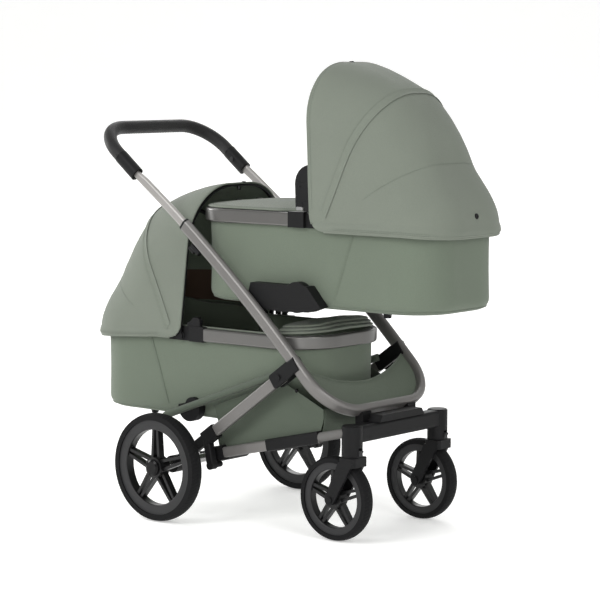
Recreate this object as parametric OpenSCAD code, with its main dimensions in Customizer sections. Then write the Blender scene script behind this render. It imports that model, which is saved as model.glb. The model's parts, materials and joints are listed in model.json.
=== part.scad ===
// Tandem twin pram: a folding chassis with two carrycots in line.
// X points forward, Y to the left, Z up. The origin lies on the floor, midway between the two cots.

/* [Wheels] */
// Outer diameter of a rear wheel
rear_wheel_d = 290; // [270:1:300]
// Width of a rear tyre
rear_tyre_w = 38; // [32:1:42]
// Depth of the tyre section on a rear wheel
rear_tyre_h = 18; // [14:1:22]
// Depth of the rim ring on a rear wheel
rear_ring_h = 26; // [18:1:30]
// Outer diameter of a front wheel
front_wheel_d = 218; // [200:1:220]
// Width of a front tyre
front_tyre_w = 34; // [28:1:36]
// Depth of the tyre section on a front wheel
front_tyre_h = 15; // [12:1:18]
// Depth of the rim ring on a front wheel
front_ring_h = 19; // [14:1:22]
// Distance between the middle planes of the rear wheels
rear_track = 584; // [580:1:600]
// Distance between the swivel axes of the casters
caster_track = 364; // [350:1:370]
// Distance of the rear axle behind the origin
rear_axle_back = 220; // [215:1:225]
// Distance of the caster swivel axis before the origin
caster_front = 353.5; // [350:0.5:357]
// Distance of a front wheel axle behind its swivel axis
caster_trail = 51; // [47:1:55]
// Number of double spokes on a wheel
spoke_count = 5; // [3:1:7]
// Diameter of the rear stub axles
rear_stub_d = 12; // [10:1:14]
// Diameter of the front wheel axles
front_pin_d = 10; // [8:1:12]

/* [Main frame] */
// Distance between the centre lines of the main tubes
tube_span = 440; // [436:1:446]
// Radius of the long side bend of the main tubes and sliders
tube_bend_r = 4340; // [4200:10:4500]
// Height of the oval tube in side view
tube_h = 36; // [34:1:38]
// Width of the oval tube across the pram
tube_w = 22; // [21:1:24]
// Wall of the main tube
tube_wall = 2; // [1.5:0.1:2.4]
// Slope of the tubes where the front loop begins
loop_slope = 45.65; // [45:0.05:46.5]
// Distance of the loop's front cross tube before the origin
loop_front = 317; // [312:1:320]
// Height of the loop's front cross tube
loop_height = 329; // [327:1:334]
// Corner radius of the front loop
loop_corner_r = 118; // [105:1:130]
// Length of each main tube above the loop corner
main_tube_len = 560; // [540:1:575]
// Distance of the fold hinge from the loop corner, along the tube
hinge_along = 57.5; // [54:0.5:61]
// Distance of the fold hinge below the tube's centre line
hinge_drop = 59.6; // [58:0.1:62]
// Diameter of the hinge pins
hinge_pin_d = 10; // [8:1:12]
// Length of the silver part of a rear leg
leg_len = 313; // [300:1:325]
// Height of a rear leg's section
leg_h = 31; // [28:1:34]
// Width of a rear leg's section
leg_w = 18; // [16:1:19]
// Diameter of the rear cross axle
rear_axle_d = 24; // [20:1:26]

/* [Lower frame] */
// Distance of the lower tubes from the middle plane
lower_tube_y = 194; // [192:1:195]
// Height of a lower tube's section
lower_tube_h = 28; // [24:1:30]
// Width of a lower tube's section
lower_tube_w = 16; // [12:1:17]
// Height of the lower tube line at its rear end
lower_rear_z = 180; // [176:1:184]
// Height of the lower tube line at the swivel axis
lower_front_z = 286; // [282:1:288]
// Distance of the lower tubes' rear end behind the origin
lower_rear_back = 104; // [100:1:108]
// Length of the silver part of a lower tube
lower_silver_len = 222; // [200:1:240]
// Length of the middle sleeve of a lower tube
lower_sleeve_len = 150; // [130:1:165]
// Distance of the basket rails from the middle plane
rail_y = 200.5; // [200:0.5:200.5]
// Diameter of a basket rail
rail_d = 20; // [18:1:21]
// Distance of the rails' rear end behind the origin
rail_rear_back = 275; // [265:1:285]
// Height of the rails' rear end
rail_rear_z = 268; // [264:1:272]
// Height of the rails above the fold hinge, where they pass it
rail_front_up = 13; // [8:1:18]
// Thickness of the basket fabric
basket_t = 3; // [2:0.5:4]

/* [Front axle] */
// Diameter of a swivel housing
housing_d = 54; // [48:1:56]
// Height of the top of a swivel housing
housing_top = 303; // [300:1:310]
// Height of the underside of a swivel housing
housing_bottom = 222; // [221:0.5:226]
// Depth of the axle beam
beam_depth = 40; // [34:1:44]
// Height of the axle beam's section
beam_h = 44; // [38:1:48]
// Width of the raised cover on the beam
cover_w = 190; // [150:1:200]
// Height of the raised cover
cover_h = 18; // [12:1:20]
// Diameter of the swivel stem
stem_d = 16; // [14:1:18]

/* [Handle] */
// Height of the slider section
slider_h = 26; // [24:1:28]
// Width of the slider section
slider_w = 14; // [12:1:15]
// Wall of the slider
slider_wall = 2; // [1.5:0.5:3]
// Visible length of a slider when pulled out
slider_show = 246; // [220:1:250]
// Length of a slider inside the main tube when pulled out
slider_inside = 170; // [120:1:200]
// Slope of the grip loop
grip_slope = 38.5; // [35:0.5:42]
// Length of the grip loop from its end housings to its cross bar
grip_reach = 168; // [160:1:175]
// Corner radius of the grip loop
grip_corner_r = 104; // [90:1:110]
// Diameter of the padded grip
grip_d = 36; // [32:1:38]
// Diameter of the core inside the grip
grip_core_d = 20; // [16:1:22]
// Length of a grip end housing beyond the slider
grip_end_len = 48; // [40:1:55]
// Length of a grip end housing over the slider
grip_end_lap = 28; // [20:1:34]

/* [Cots] */
// Distance between the two cots' middles
cot_pitch = 382; // [376:1:388]
// Height of the upper cot's underside
upper_cot_z = 589; // [585:1:595]
// Height of the lower cot's underside
lower_cot_z = 267; // [264:1:270]
// Length of a cot's shell
cot_len = 782; // [770:2:790]
// Width of a cot's shell
cot_w = 352; // [348:1:354]
// Plan corner radius of a cot's shell
cot_corner_r = 125; // [110:1:140]
// Wall of a cot's shell
cot_wall = 9; // [6:1:12]
// Rounding of a cot's lower edge
cot_fillet = 28; // [20:1:34]
// Height from the underside of a cot to its rim
cot_depth = 209; // [200:1:215]
// Height of the rim band
rim_h = 36; // [32:1:40]
// Thickness of the rim band
rim_t = 14; // [13:0.5:14.5]
// Rounding of the rim band's outer edges
rim_round = 5; // [2:1:6]
// Radius of a cot's mounting boss
boss_r = 26; // [22:1:30]
// Height of a mounting boss above the cot's underside
boss_up = 30; // [26:1:34]
// Depth of a mounting boss
boss_t = 12; // [10:0.5:12]
// Length of a cot foot
foot_h = 16; // [10:1:18]
// Diameter of a cot foot
foot_d = 24; // [18:1:28]
// Thickness of a mattress at its edge
mattress_h = 34; // [26:1:45]
// Rise of the mattress towards its middle
mattress_crown = 10; // [4:1:16]
// Rise of the apron towards its middle
apron_crown = 14; // [6:1:18]
// Length of the lower cot's apron, folded back at the foot end
lower_apron_len = 112; // [100:1:130]
// Height of the folded layers of the lower cot's apron
lower_apron_fold = 20; // [14:1:24]

/* [Hoods] */
// Distance of the hood pivot from the cot's middle towards the head
pivot_head = 44; // [40:1:48]
// Height of the hood pivot above the rim's lower edge
pivot_up = 10; // [6:1:14]
// Half width of a canopy
canopy_half_w = 193.5; // [193:0.5:196]
// Thickness of a canopy
canopy_t = 3; // [2:0.5:3]
// Angle of the upper hood's lead bow above the head side
upper_lead_angle = 92; // [84:1:96]
// Angle of the lower hood's lead bow above the head side
lower_lead_angle = 97; // [88:1:98]
// Angle of a middle bow above the head side
mid_angle = 64; // [58:1:68]
// Angle of the hem below the pivot
hem_drop = 4; // [3:0.5:5]
// Reach of the lead bow's canopy edge
lead_reach = 410; // [395:1:420]
// Reach of the canopy over the middle bow
mid_reach = 371; // [360:1:380]
// Reach of the canopy at the hem
hem_reach = 376; // [374:1:380]
// Thickness of a bow strip
bow_t = 4; // [3:0.5:4]
// Width of a bow strip
bow_w = 12; // [8:1:16]
// Height of a hood arm above the pivot
arm_h = 150; // [120:1:165]
// Width of a hood arm
arm_w = 66; // [44:1:70]
// Diameter of a hood pivot pin
pivot_pin_d = 8; // [6:1:9]

/* [Fits] */
// Radial clearance of round running fits
run_fit = 0.05; // [0.02:0.01:0.1]
// Clearance of sliding pieces and soft parts
slide_fit = 0.3; // [0.2:0.05:0.4]
// Slack of a canopy over the top of its bows
hood_slack = 2.8; // [2.5:0.1:4]

/* [Hidden] */

$fn = 64;
long_bend_fn = 1440;
eps = 0.01;

silver = "#8e8e8c";
dark_grey = "#5a5a5a";
black = "#2b2b2b";
tyre_black = "#1f1f20";
sage = "#858f82";
sage_dark = "#6b7568";
cream = "#d8d5cc";

// Main tube: the side bend's centre follows from the start of the loop corner
loop_start = [loop_front - loop_corner_r * cos(loop_slope), loop_height + loop_corner_r * sin(loop_slope)];
bend_centre = [loop_start.x - tube_bend_r * sin(loop_slope), loop_start.y - tube_bend_r * cos(loop_slope)];
collar_slope = loop_slope - turn(main_tube_len);
grip_start_slope = collar_slope - turn(slider_show);
slider_end_slope = collar_slope + turn(slider_inside);
tube_y = tube_span / 2;
tube_inner_y = tube_y - tube_w / 2;
collar_lip = 6;
collar_len = 45;

// Rear frame
hinge = on_bend(loop_slope - turn(hinge_along), -hinge_drop);
rear_axle_z = rear_wheel_d / 2;
rear_axle_pos = [-rear_axle_back, rear_axle_z];
leg_slope = atan2(hinge.y - rear_axle_pos.y, hinge.x - rear_axle_pos.x);
leg_reach = norm(hinge - rear_axle_pos);
leg_eye_r = leg_h / 2;
leg_corner_r = 5;
bracket_wall = 4;
bracket_lap = 34;
stub_out = rear_track / 2 + rear_tyre_w / 2 - 2;
axle_half = rear_track / 2 - rear_tyre_w / 2 - 8;
cap_t = 9;
cap_d = 44;

// Lower tubes
lower_run = caster_front + lower_rear_back;
lower_slope = atan2(lower_front_z - lower_rear_z, lower_run);
lower_len = norm([lower_run, lower_front_z - lower_rear_z]);
end_block_len = 44;
end_block_h = lower_tube_h + 12;
joint_grow = 4;
stub_d = 24;
stub_set = 12;
stub_len = lower_len - lower_silver_len - lower_sleeve_len - 8;
stub_aim = atan2(caster_track / 2 + stub_set - lower_tube_y, stub_len);
saddle_d = 16;

// Basket rails
rail_run = rail_rear_back + hinge.x;
rail_rise = hinge.y + rail_front_up - rail_rear_z;
rail_slope = atan2(rail_rise, rail_run);
rail_len = norm([rail_run, rail_rise]) - 14;

// Casters
front_r = front_wheel_d / 2;
front_axle_x = caster_front - caster_trail;
tyre_gap = 5;
fork_gap = front_tyre_w / 2 + tyre_gap;
fork_t = 8;
stem_top = housing_top - 14;
lock_w = 12;
lock_h = 14;
lock_depth = 8;
lock_travel = 6;

// Cots, in their own frame: u towards the head, w up from the underside
cot_half_len = cot_len / 2;
cot_half_w = cot_w / 2;
cot_top = cot_depth + rim_h;
pivot_w = cot_depth + pivot_up;
rim_half_w = cot_half_w + rim_t;
block_foot = -44;
block_step = 8;
block_head = 88;
lead_layer = canopy_half_w - canopy_t - slide_fit - bow_t / 2;
mid_layer = lead_layer - bow_t - slide_fit;
block_half_w = mid_layer - bow_t / 2 - slide_fit;
pivot_ring_r = 11;
arm_start = 42;
arm_round = arm_w - 16;
canopy_start = pivot_ring_r + 4;
foot_spots = [215, 105];

function turn(length) = length / tube_bend_r * 180 / PI;
function on_bend(slope, rise = 0) = [
    bend_centre.x + (tube_bend_r + rise) * sin(slope),
    bend_centre.y + (tube_bend_r + rise) * cos(slope)
];
function rail_z(x) = rail_rear_z + (x + rail_rear_back) * tan(rail_slope);
function lower_z(x) = lower_rear_z + (x + lower_rear_back) * tan(lower_slope);

// Plain shapes

module both_sides() {
    children();
    mirror([0, 1, 0]) children();
}

module stadium(length, width) {
    square([length - width, width], center = true);
    for (s = [-1, 1]) translate([s * (length - width) / 2, 0]) circle(d = width);
}

module round_rect(length, width, r) {
    square([length - 2 * r, width], center = true);
    square([length, width - 2 * r], center = true);
    for (sx = [-1, 1], sy = [-1, 1])
        translate([sx * (length / 2 - r), sy * (width / 2 - r)]) circle(r = r);
}

// Sweeps a profile along the long side bend; the profile's x is radial and its y runs across the pram
module along_bend(low_slope, high_slope) {
    translate([bend_centre.x, 0, bend_centre.y])
        rotate([90, 0, 0])
            rotate(90 - low_slope)
                rotate_extrude(angle = low_slope - high_slope, $fn = long_bend_fn)
                    translate([tube_bend_r, 0]) children();
}

// Bends a profile into a U in the XY plane: legs along X from start, cross bar at reach
module u_sweep(start, reach, half_w, corner_r) {
    leg = reach - corner_r - start;
    both_sides() {
        if (leg > eps)
            translate([start, half_w, 0]) rotate([90, 0, 90]) linear_extrude(leg) children();
        translate([reach - corner_r, half_w - corner_r, 0])
            rotate_extrude(angle = 90) translate([corner_r, 0]) children();
    }
    translate([reach, 0, 0])
        rotate([90, 0, 0])
            linear_extrude(2 * (half_w - corner_r), center = true) children();
}

// Sweeps a profile round a rounded rectangle; the profile's x points outwards and its y up
module band_sweep(length, width, r) {
    for (sx = [0, 1], sy = [0, 1])
        mirror([sx, 0, 0]) mirror([0, sy, 0])
            translate([length / 2 - r, width / 2 - r, 0])
                rotate_extrude(angle = 90) translate([r, 0]) children();
    both_sides()
        translate([0, width / 2, 0])
            rotate([90, 0, 90]) linear_extrude(length - 2 * r, center = true) children();
    for (sx = [0, 1])
        mirror([sx, 0, 0]) translate([length / 2, 0, 0])
            rotate([90, 0, 0]) linear_extrude(width - 2 * r, center = true) children();
}

// Rounded-rectangle tub with a rounded lower edge
module tub(length, width, r, height, fillet) {
    translate([0, 0, fillet]) linear_extrude(height - fillet) round_rect(length, width, r);
    linear_extrude(fillet) round_rect(length - 2 * fillet, width - 2 * fillet, r - fillet);
    translate([0, 0, fillet])
        band_sweep(length - 2 * fillet, width - 2 * fillet, r - fillet) circle(r = fillet);
}

// Closed solid between two point grids of the same size
module grid_solid(top, bottom) {
    rows = len(top);
    cols = len(top[0]);
    lower = rows * cols;
    points = concat([for (row = top) each row], [for (row = bottom) each row]);
    function at(i, j) = i * cols + j;
    skin = [
        for (i = [0 : rows - 2], j = [0 : cols - 2])
            each [
                [at(i, j), at(i, j + 1), at(i + 1, j + 1)],
                [at(i, j), at(i + 1, j + 1), at(i + 1, j)],
                [lower + at(i, j), lower + at(i + 1, j + 1), lower + at(i, j + 1)],
                [lower + at(i, j), lower + at(i + 1, j), lower + at(i + 1, j + 1)]
            ]
    ];
    edge = concat(
        [for (j = [0 : cols - 2]) at(0, j)],
        [for (i = [0 : rows - 2]) at(i, cols - 1)],
        [for (j = [cols - 1 : -1 : 1]) at(rows - 1, j)],
        [for (i = [rows - 1 : -1 : 1]) at(i, 0)]
    );
    n = len(edge);
    wall = [
        for (k = [0 : n - 1])
            let (a = edge[k], b = edge[(k + 1) % n])
                each [[a, lower + a, b], [b, lower + a, lower + b]]
    ];
    polyhedron(points, concat(skin, wall), convexity = 6);
}

// Main frame

module tube_section(wall) {
    difference() {
        stadium(tube_h, tube_w);
        if (wall > 0) stadium(tube_h - 2 * wall, tube_w - 2 * wall);
    }
}

module frame_tube(wall) {
    both_sides() translate([0, tube_y, 0]) along_bend(loop_slope, collar_slope) tube_section(wall);
    translate([loop_start.x, 0, loop_start.y])
        rotate([0, loop_slope, 0])
            u_sweep(0, loop_corner_r, tube_y, loop_corner_r) rotate(90) tube_section(wall);
    if (wall > 0) both_sides() loop_joint();
}

// Inner plug that joins a side tube to the loop
module loop_joint() {
    translate([loop_start.x, tube_y, loop_start.y])
        rotate([0, loop_slope, 0])
            translate([-8, 0, 0])
                rotate([90, 0, 90])
                    linear_extrude(14) rotate(90) stadium(tube_h - tube_wall, tube_w - tube_wall);
}

module main_frame() {
    color(silver) frame_tube(tube_wall);
}

// Bushes in the mouths of the main tubes, with a lip that shows as a seam
module tube_collars() {
    color(black) both_sides() translate([0, tube_y, 0]) {
        along_bend(collar_slope + turn(collar_len), collar_slope)
            collar_ring(tube_h - 2 * tube_wall, tube_w - 2 * tube_wall);
        along_bend(collar_slope, collar_slope - turn(collar_lip)) collar_ring(tube_h, tube_w);
    }
}

module collar_ring(height, width) {
    difference() {
        stadium(height, width);
        stadium(slider_h + 2 * run_fit, slider_w + 2 * run_fit);
    }
}

// Handle

module in_grip_plane() {
    start = on_bend(grip_start_slope);
    translate([start.x, 0, start.y]) rotate([0, 180 + grip_slope, 0]) children();
}

module slider(wall) {
    along_bend(slider_end_slope, grip_start_slope)
        difference() {
            stadium(slider_h, slider_w);
            if (wall > 0) stadium(slider_h - 2 * wall, slider_w - 2 * wall);
        }
}

module handle_tube() {
    color(silver) {
        both_sides() translate([0, tube_y, 0]) slider(slider_wall);
        in_grip_plane() u_sweep(-grip_end_lap / 2, grip_reach, tube_y, grip_corner_r) circle(d = grip_core_d);
    }
}

module handle_grip() {
    color(black) in_grip_plane()
        u_sweep(grip_end_len, grip_reach, tube_y, grip_corner_r)
            difference() {
                circle(d = grip_d);
                circle(d = grip_core_d);
            }
}

button_d = 13;
button_at = 16;
button_out = 3;
button_travel = 2.5;
housing_h = grip_d + 3;
grip_end_w = grip_d - 3;
button_pocket = (grip_end_w - grip_core_d) / 2 - 0.5;

module grip_end_pocket() {
    translate([button_at, tube_y - grip_end_w / 2 - eps, 0])
        rotate([-90, 0, 0]) cylinder(d = button_d, h = button_pocket + eps);
}

module grip_ends() {
    color(black) both_sides() difference() {
        in_grip_plane() difference() {
            translate([-grip_end_lap, tube_y, 0])
                rotate([0, 90, 0])
                    linear_extrude(grip_end_lap + grip_end_len) stadium(housing_h, grip_end_w);
            translate([-grip_end_lap, tube_y, 0])
                rotate([0, 90, 0])
                    cylinder(d = grip_core_d, h = grip_end_lap + grip_end_len + 1);
            grip_end_pocket();
        }
        translate([0, tube_y, 0]) slider(0);
    }
}

module height_button() {
    color(dark_grey) in_grip_plane()
        translate([button_at, tube_y - grip_end_w / 2 - button_out, 0])
            rotate([-90, 0, 0])
                cylinder(d = button_d - 2 * run_fit, h = button_out + button_pocket - button_travel - 0.4);
}

module height_button_left() height_button();

module height_button_right() mirror([0, 1, 0]) height_button();

trigger_len = 34;
trigger_h = 13;
trigger_w = 15;
trigger_drop = 52;

// Fold trigger that slides along the underside of a main tube
module fold_trigger() {
    low = collar_slope + turn(trigger_drop + trigger_len);
    high = collar_slope + turn(trigger_drop);
    color(black) translate([0, tube_y, 0]) {
        along_bend(low, high)
            translate([-tube_h / 2 - slide_fit - trigger_h / 2, 0]) round_rect(trigger_h, trigger_w, 3);
        along_bend(low - turn(trigger_len / 2), high - turn(4))
            translate([-tube_h / 2 - trigger_h - 4, 0]) stadium(12, trigger_w - 4);
    }
}

module fold_trigger_left() fold_trigger();

module fold_trigger_right() mirror([0, 1, 0]) fold_trigger();

// Rear frame, in the leg's own frame: x runs down the leg from the hinge

module in_leg_frame() {
    translate([hinge.x, tube_y, hinge.y]) rotate([0, 180 - leg_slope, 0]) children();
}

module leg_bar(length, grow = 0) {
    rotate([0, 90, 0]) linear_extrude(length) round_rect(leg_h + 2 * grow, leg_w + 2 * grow, leg_corner_r);
}

module across(length, d) {
    rotate([90, 0, 0]) cylinder(d = d, h = length, center = true);
}

module rear_legs() {
    color(silver) both_sides() in_leg_frame() difference() {
        union() {
            translate([leg_eye_r, 0, 0]) leg_bar(leg_len - leg_eye_r);
            across(leg_w, 2 * leg_eye_r);
            translate([0, -leg_w / 2, -leg_eye_r]) cube([leg_eye_r + eps, leg_w, 2 * leg_eye_r]);
        }
        across(leg_w + 1, hinge_pin_d + 2 * run_fit);
    }
}

hinge_pin_head = 16;
cheek_t = 6;
cheek_out = leg_w / 2 + slide_fit;
cheek_half_h = leg_eye_r + 4;
cheek_len = 78;
cheek_front = 12;
clevis_back = 70;

module hinge_pins() {
    color(dark_grey) both_sides() translate([hinge.x, tube_y, hinge.y]) {
        across(2 * (cheek_out + cheek_t), hinge_pin_d);
        translate([0, cheek_out + cheek_t + 1.5, 0]) across(3, hinge_pin_head);
    }
}

// Clevis under the main tube that holds a leg's eye between two cheeks
module hinge_brackets() {
    color(black) both_sides() difference() {
        in_leg_frame() {
            for (s = [-1, 1])
                translate([-cheek_front, s * (cheek_out + cheek_t / 2), 0])
                    rotate([90, 0, 0])
                        linear_extrude(cheek_t, center = true) round_rect(cheek_len, 2 * cheek_half_h, 7);
            translate([-clevis_back, 0, 0])
                rotate([0, 90, 0])
                    linear_extrude(clevis_back - leg_eye_r - 4)
                        round_rect(2 * cheek_half_h, 2 * (cheek_out + cheek_t), 6);
        }
        frame_tube(0);
        translate([hinge.x, tube_y, hinge.y]) across(60, hinge_pin_d);
        rail(0);
    }
}

axle_boss_d = 46;

module rear_brackets() {
    color(black) both_sides() difference() {
        union() {
            in_leg_frame() {
                translate([leg_len - bracket_lap, 0, 0]) leg_bar(bracket_lap + 12, bracket_wall);
                translate([leg_len, 0, 0])
                    rotate([0, 90, 0])
                        linear_extrude(leg_reach - leg_len) round_rect(leg_h - 2, leg_w + 2, leg_corner_r);
                translate([leg_reach, 0, 0]) across(leg_w + 18, axle_boss_d);
            }
            saddle_arm();
        }
        in_leg_frame() {
            translate([leg_eye_r, 0, 0]) leg_bar(leg_len - leg_eye_r);
            translate([leg_reach, 0, 0]) across(leg_w + 40, rear_axle_d);
        }
    }
}

saddle_x = -lower_rear_back + 14;
saddle_z = lower_z(saddle_x) - (end_block_h / 2 + slide_fit + saddle_d / 2) / cos(lower_slope);
saddle_top = [hinge.x - (leg_len + 4) * cos(leg_slope), hinge.y - (leg_len + 4) * sin(leg_slope)];

// Arm from the leg's foot down to the rest that carries the lower tube's end block
module saddle_arm() {
    run = [saddle_x, saddle_z] - saddle_top;
    translate([saddle_top.x, tube_y, saddle_top.y])
        rotate([0, -atan2(run.y, run.x), 0]) {
            rotate([0, 90, 0]) linear_extrude(norm(run)) round_rect(22, leg_w + 4, 4);
            translate([norm(run), 0, 0]) across(leg_w + 4, 22);
        }
    translate([saddle_x, (tube_y + lower_tube_y) / 2, saddle_z])
        across(tube_y - lower_tube_y + lower_tube_w, saddle_d);
}

module rear_axle() {
    color(dark_grey) translate([-rear_axle_back, 0, rear_axle_z]) {
        across(2 * axle_half, rear_axle_d);
        across(2 * stub_out, rear_stub_d);
    }
}

pedal_y = 0;
pedal_w = 120;
pedal_reach = 78;
pedal_ring = 38;

// Foot lever that turns on the cross axle and locks the rear wheels
module brake_pedal() {
    color(black) translate([-rear_axle_back, pedal_y, rear_axle_z]) difference() {
        union() {
            across(pedal_w, pedal_ring);
            translate([-pedal_reach / 2, 0, 0]) rotate([0, -8, 0])
                linear_extrude(10, center = true) round_rect(pedal_reach, pedal_w - 20, 12);
            for (s = [-1, 1]) translate([-pedal_reach / 2, s * (pedal_w / 2 - 20), -7])
                rotate([0, -8, 0]) linear_extrude(9, center = true) round_rect(pedal_reach - 16, 8, 3);
        }
        across(pedal_w + 1, rear_axle_d + 2 * run_fit);
    }
}

// Wheels, in their own frame: the axle runs along Y

module tyre(d, h, w) {
    crown_drop = 4;
    crown_r = (w * w / 4 + crown_drop * crown_drop) / (2 * crown_drop);
    color(tyre_black) rotate([90, 0, 0]) rotate_extrude()
        intersection() {
            translate([d / 2 - h, -w / 2]) square([h, w]);
            translate([d / 2 - crown_r, 0]) circle(r = crown_r);
        }
}

spoke_bar = 8;
spoke_rim_gap = 13;

// Ring, hub and double spokes; each pair of bars closes in towards the ring
module rim(d, ring_h, w, hub_d, bore_d, spoke_gap) {
    ring_w = w - 8;
    inner_r = d / 2 - ring_h;
    color(dark_grey) rotate([90, 0, 0]) difference() {
        union() {
            rotate_extrude() {
                translate([inner_r + ring_h / 2, 0]) round_rect(ring_h, ring_w, 4);
                translate([d / 2 - 6, -ring_w / 2]) square([6, ring_w]);
            }
            cylinder(d = hub_d, h = w - 2, center = true);
            for (i = [0 : spoke_count - 1]) rotate(90 + i * 360 / spoke_count)
                spoke_pair(hub_d / 2 - 10, inner_r + 3, w / 2, spoke_gap);
        }
        cylinder(d = bore_d, h = w + 2, center = true);
    }
}

module spoke_pair(from_r, to_r, thick, spoke_gap) {
    for (s = [-1, 1])
        linear_extrude(thick, center = true)
            polygon([
                [from_r, s * (spoke_gap - spoke_bar) / 2],
                [to_r, s * (spoke_rim_gap - spoke_bar) / 2],
                [to_r, s * (spoke_rim_gap + spoke_bar) / 2],
                [from_r, s * (spoke_gap + spoke_bar) / 2]
            ]);
}

module at_rear_wheel() {
    translate([-rear_axle_back, rear_track / 2, rear_axle_z]) children();
}

rear_hub_d = 56;
rear_spoke_gap = 24;

module rear_tyre() at_rear_wheel() tyre(rear_wheel_d, rear_tyre_h, rear_tyre_w);

module rear_rim() at_rear_wheel()
    rim(
        rear_wheel_d - 2 * rear_tyre_h, rear_ring_h, rear_tyre_w, rear_hub_d, rear_stub_d + 2 * run_fit,
        rear_spoke_gap
    );

// Domed hub cap on the outer face of a rear wheel
module rear_cap() {
    color(black) at_rear_wheel() translate([0, rear_tyre_w / 2 - 1, 0]) rotate([-90, 0, 0])
        rotate_extrude()
            polygon([[0, 0], [cap_d / 2, 0], [cap_d / 2, cap_t - 4], [cap_d / 2 - 5, cap_t], [0, cap_t]]);
}

module rear_tyre_left() rear_tyre();

module rear_rim_left() rear_rim();

module rear_cap_left() rear_cap();

module rear_tyre_right() mirror([0, 1, 0]) rear_tyre();

module rear_rim_right() mirror([0, 1, 0]) rear_rim();

module rear_cap_right() mirror([0, 1, 0]) rear_cap();

// Front axle

module front_axle() {
    color(black) difference() {
        union() {
            translate([caster_front, 0, housing_top - 2 - beam_h / 2])
                rotate([90, 0, 0])
                    linear_extrude(caster_track, center = true) round_rect(beam_depth, beam_h, 8);
            both_sides() translate([caster_front, caster_track / 2, 0]) {
                translate([0, 0, housing_bottom])
                    cylinder(d = housing_d, h = housing_top - housing_bottom - 3);
                translate([0, 0, housing_top - 3 - eps])
                    cylinder(d1 = housing_d, d2 = housing_d - 6, h = 3);
            }
            both_sides() loop_block();
        }
        both_sides() translate([caster_front, caster_track / 2, 0]) {
            translate([0, 0, housing_bottom - 1]) cylinder(d = stem_d, h = stem_top - housing_bottom + 2);
            lock_pocket();
        }
        frame_tube(0);
    }
}

block_y = 95;
block_w = 34;

// Block that seats the front loop on the back of the beam
module loop_block() {
    rear = loop_front - 9;
    low = housing_top - beam_h + 10;
    translate([rear, block_y - block_w / 2, low]) {
        cube([caster_front - beam_depth / 2 - rear, block_w, loop_height - 3 - low]);
        cube([caster_front - rear, block_w, 20]);
    }
}

module lock_pocket() {
    translate([housing_d / 2 - lock_depth - slide_fit, -lock_w / 2 - slide_fit, housing_bottom + 4])
        cube([lock_depth + 4, lock_w + 2 * slide_fit, lock_h + lock_travel + 2 * slide_fit]);
}

module swivel_lock() {
    color(silver) translate([caster_front, caster_track / 2, 0])
        translate([housing_d / 2 - lock_depth, -lock_w / 2, housing_bottom + 4 + slide_fit]) {
            cube([lock_depth + 2, lock_w, lock_h]);
            translate([lock_depth, 0, lock_h - 5]) cube([5, lock_w, 5]);
        }
}

module swivel_lock_left() swivel_lock();

module swivel_lock_right() mirror([0, 1, 0]) swivel_lock();

module axle_cover() {
    low = housing_top - 2;
    color(black) translate([caster_front - beam_depth / 2, 0, 0])
        rotate([90, 0, 90])
            linear_extrude(beam_depth + 2)
                polygon([
                    [-cover_w / 2, low], [cover_w / 2, low], [cover_w / 2 - 12, low + cover_h],
                    [-cover_w / 2 + 12, low + cover_h]
                ]);
}

// Casters

fork_foot_r = 15;
crown_front = 28;
crown_back = 22;
crown_h = 24;

module fork() {
    stem_free = 2;
    crown_top = housing_bottom - slide_fit;
    color(black) translate([caster_front, caster_track / 2, 0]) {
        difference() {
            union() {
                translate([0, 0, crown_top - eps])
                    cylinder(d = stem_d - 2 * run_fit, h = stem_top - crown_top - stem_free);
                translate([(crown_front - crown_back) / 2, 0, crown_top - crown_h])
                    linear_extrude(crown_h) round_rect(crown_front + crown_back, 2 * (fork_gap + fork_t), 10);
                both_sides() translate([0, fork_gap + fork_t / 2, 0]) fork_arm(crown_top - crown_h / 2);
            }
            translate([-caster_trail, 0, front_r]) {
                across(2 * fork_gap, front_wheel_d + 2 * tyre_gap);
                across(2 * (fork_gap + fork_t) + 2, front_pin_d);
            }
        }
    }
}

// Tapered arm from the crown back and down to the wheel axle
module fork_arm(top) {
    run = [-caster_trail, front_r - top];
    slant = atan2(run.y, run.x);
    side = [sin(slant), -cos(slant)] * fork_foot_r;
    rotate([90, 0, 0]) linear_extrude(fork_t, center = true) {
        polygon([
            [-crown_back, top], [crown_front - 4, top],
            [-caster_trail - side.x, front_r - side.y], [-caster_trail + side.x, front_r + side.y]
        ]);
        translate([-caster_trail, front_r]) circle(r = fork_foot_r);
    }
}

module fork_pin() {
    half = fork_gap + fork_t;
    color(dark_grey) translate([front_axle_x, caster_track / 2, front_r]) {
        across(2 * half, front_pin_d);
        for (s = [-1, 1]) translate([0, s * (half + 1.5), 0]) across(3, front_pin_d + 8);
    }
}

module at_front_wheel() {
    translate([front_axle_x, caster_track / 2, front_r]) children();
}

front_hub_d = 50;
front_spoke_gap = 20;

module front_tyre() at_front_wheel() tyre(front_wheel_d, front_tyre_h, front_tyre_w);

module front_rim() at_front_wheel()
    rim(
        front_wheel_d - 2 * front_tyre_h, front_ring_h, front_tyre_w, front_hub_d, front_pin_d + 2 * run_fit,
        front_spoke_gap
    );

module fork_left() fork();

module fork_pin_left() fork_pin();

module front_tyre_left() front_tyre();

module front_rim_left() front_rim();

module fork_right() mirror([0, 1, 0]) fork();

module fork_pin_right() mirror([0, 1, 0]) fork_pin();

module front_tyre_right() mirror([0, 1, 0]) front_tyre();

module front_rim_right() mirror([0, 1, 0]) front_rim();

// Lower frame

module in_lower_frame() {
    translate([-lower_rear_back, lower_tube_y, lower_rear_z]) rotate([0, -lower_slope, 0]) children();
}

module lower_bar(length, h, w, r) {
    rotate([0, 90, 0]) linear_extrude(length) round_rect(h, w, r);
}

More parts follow.
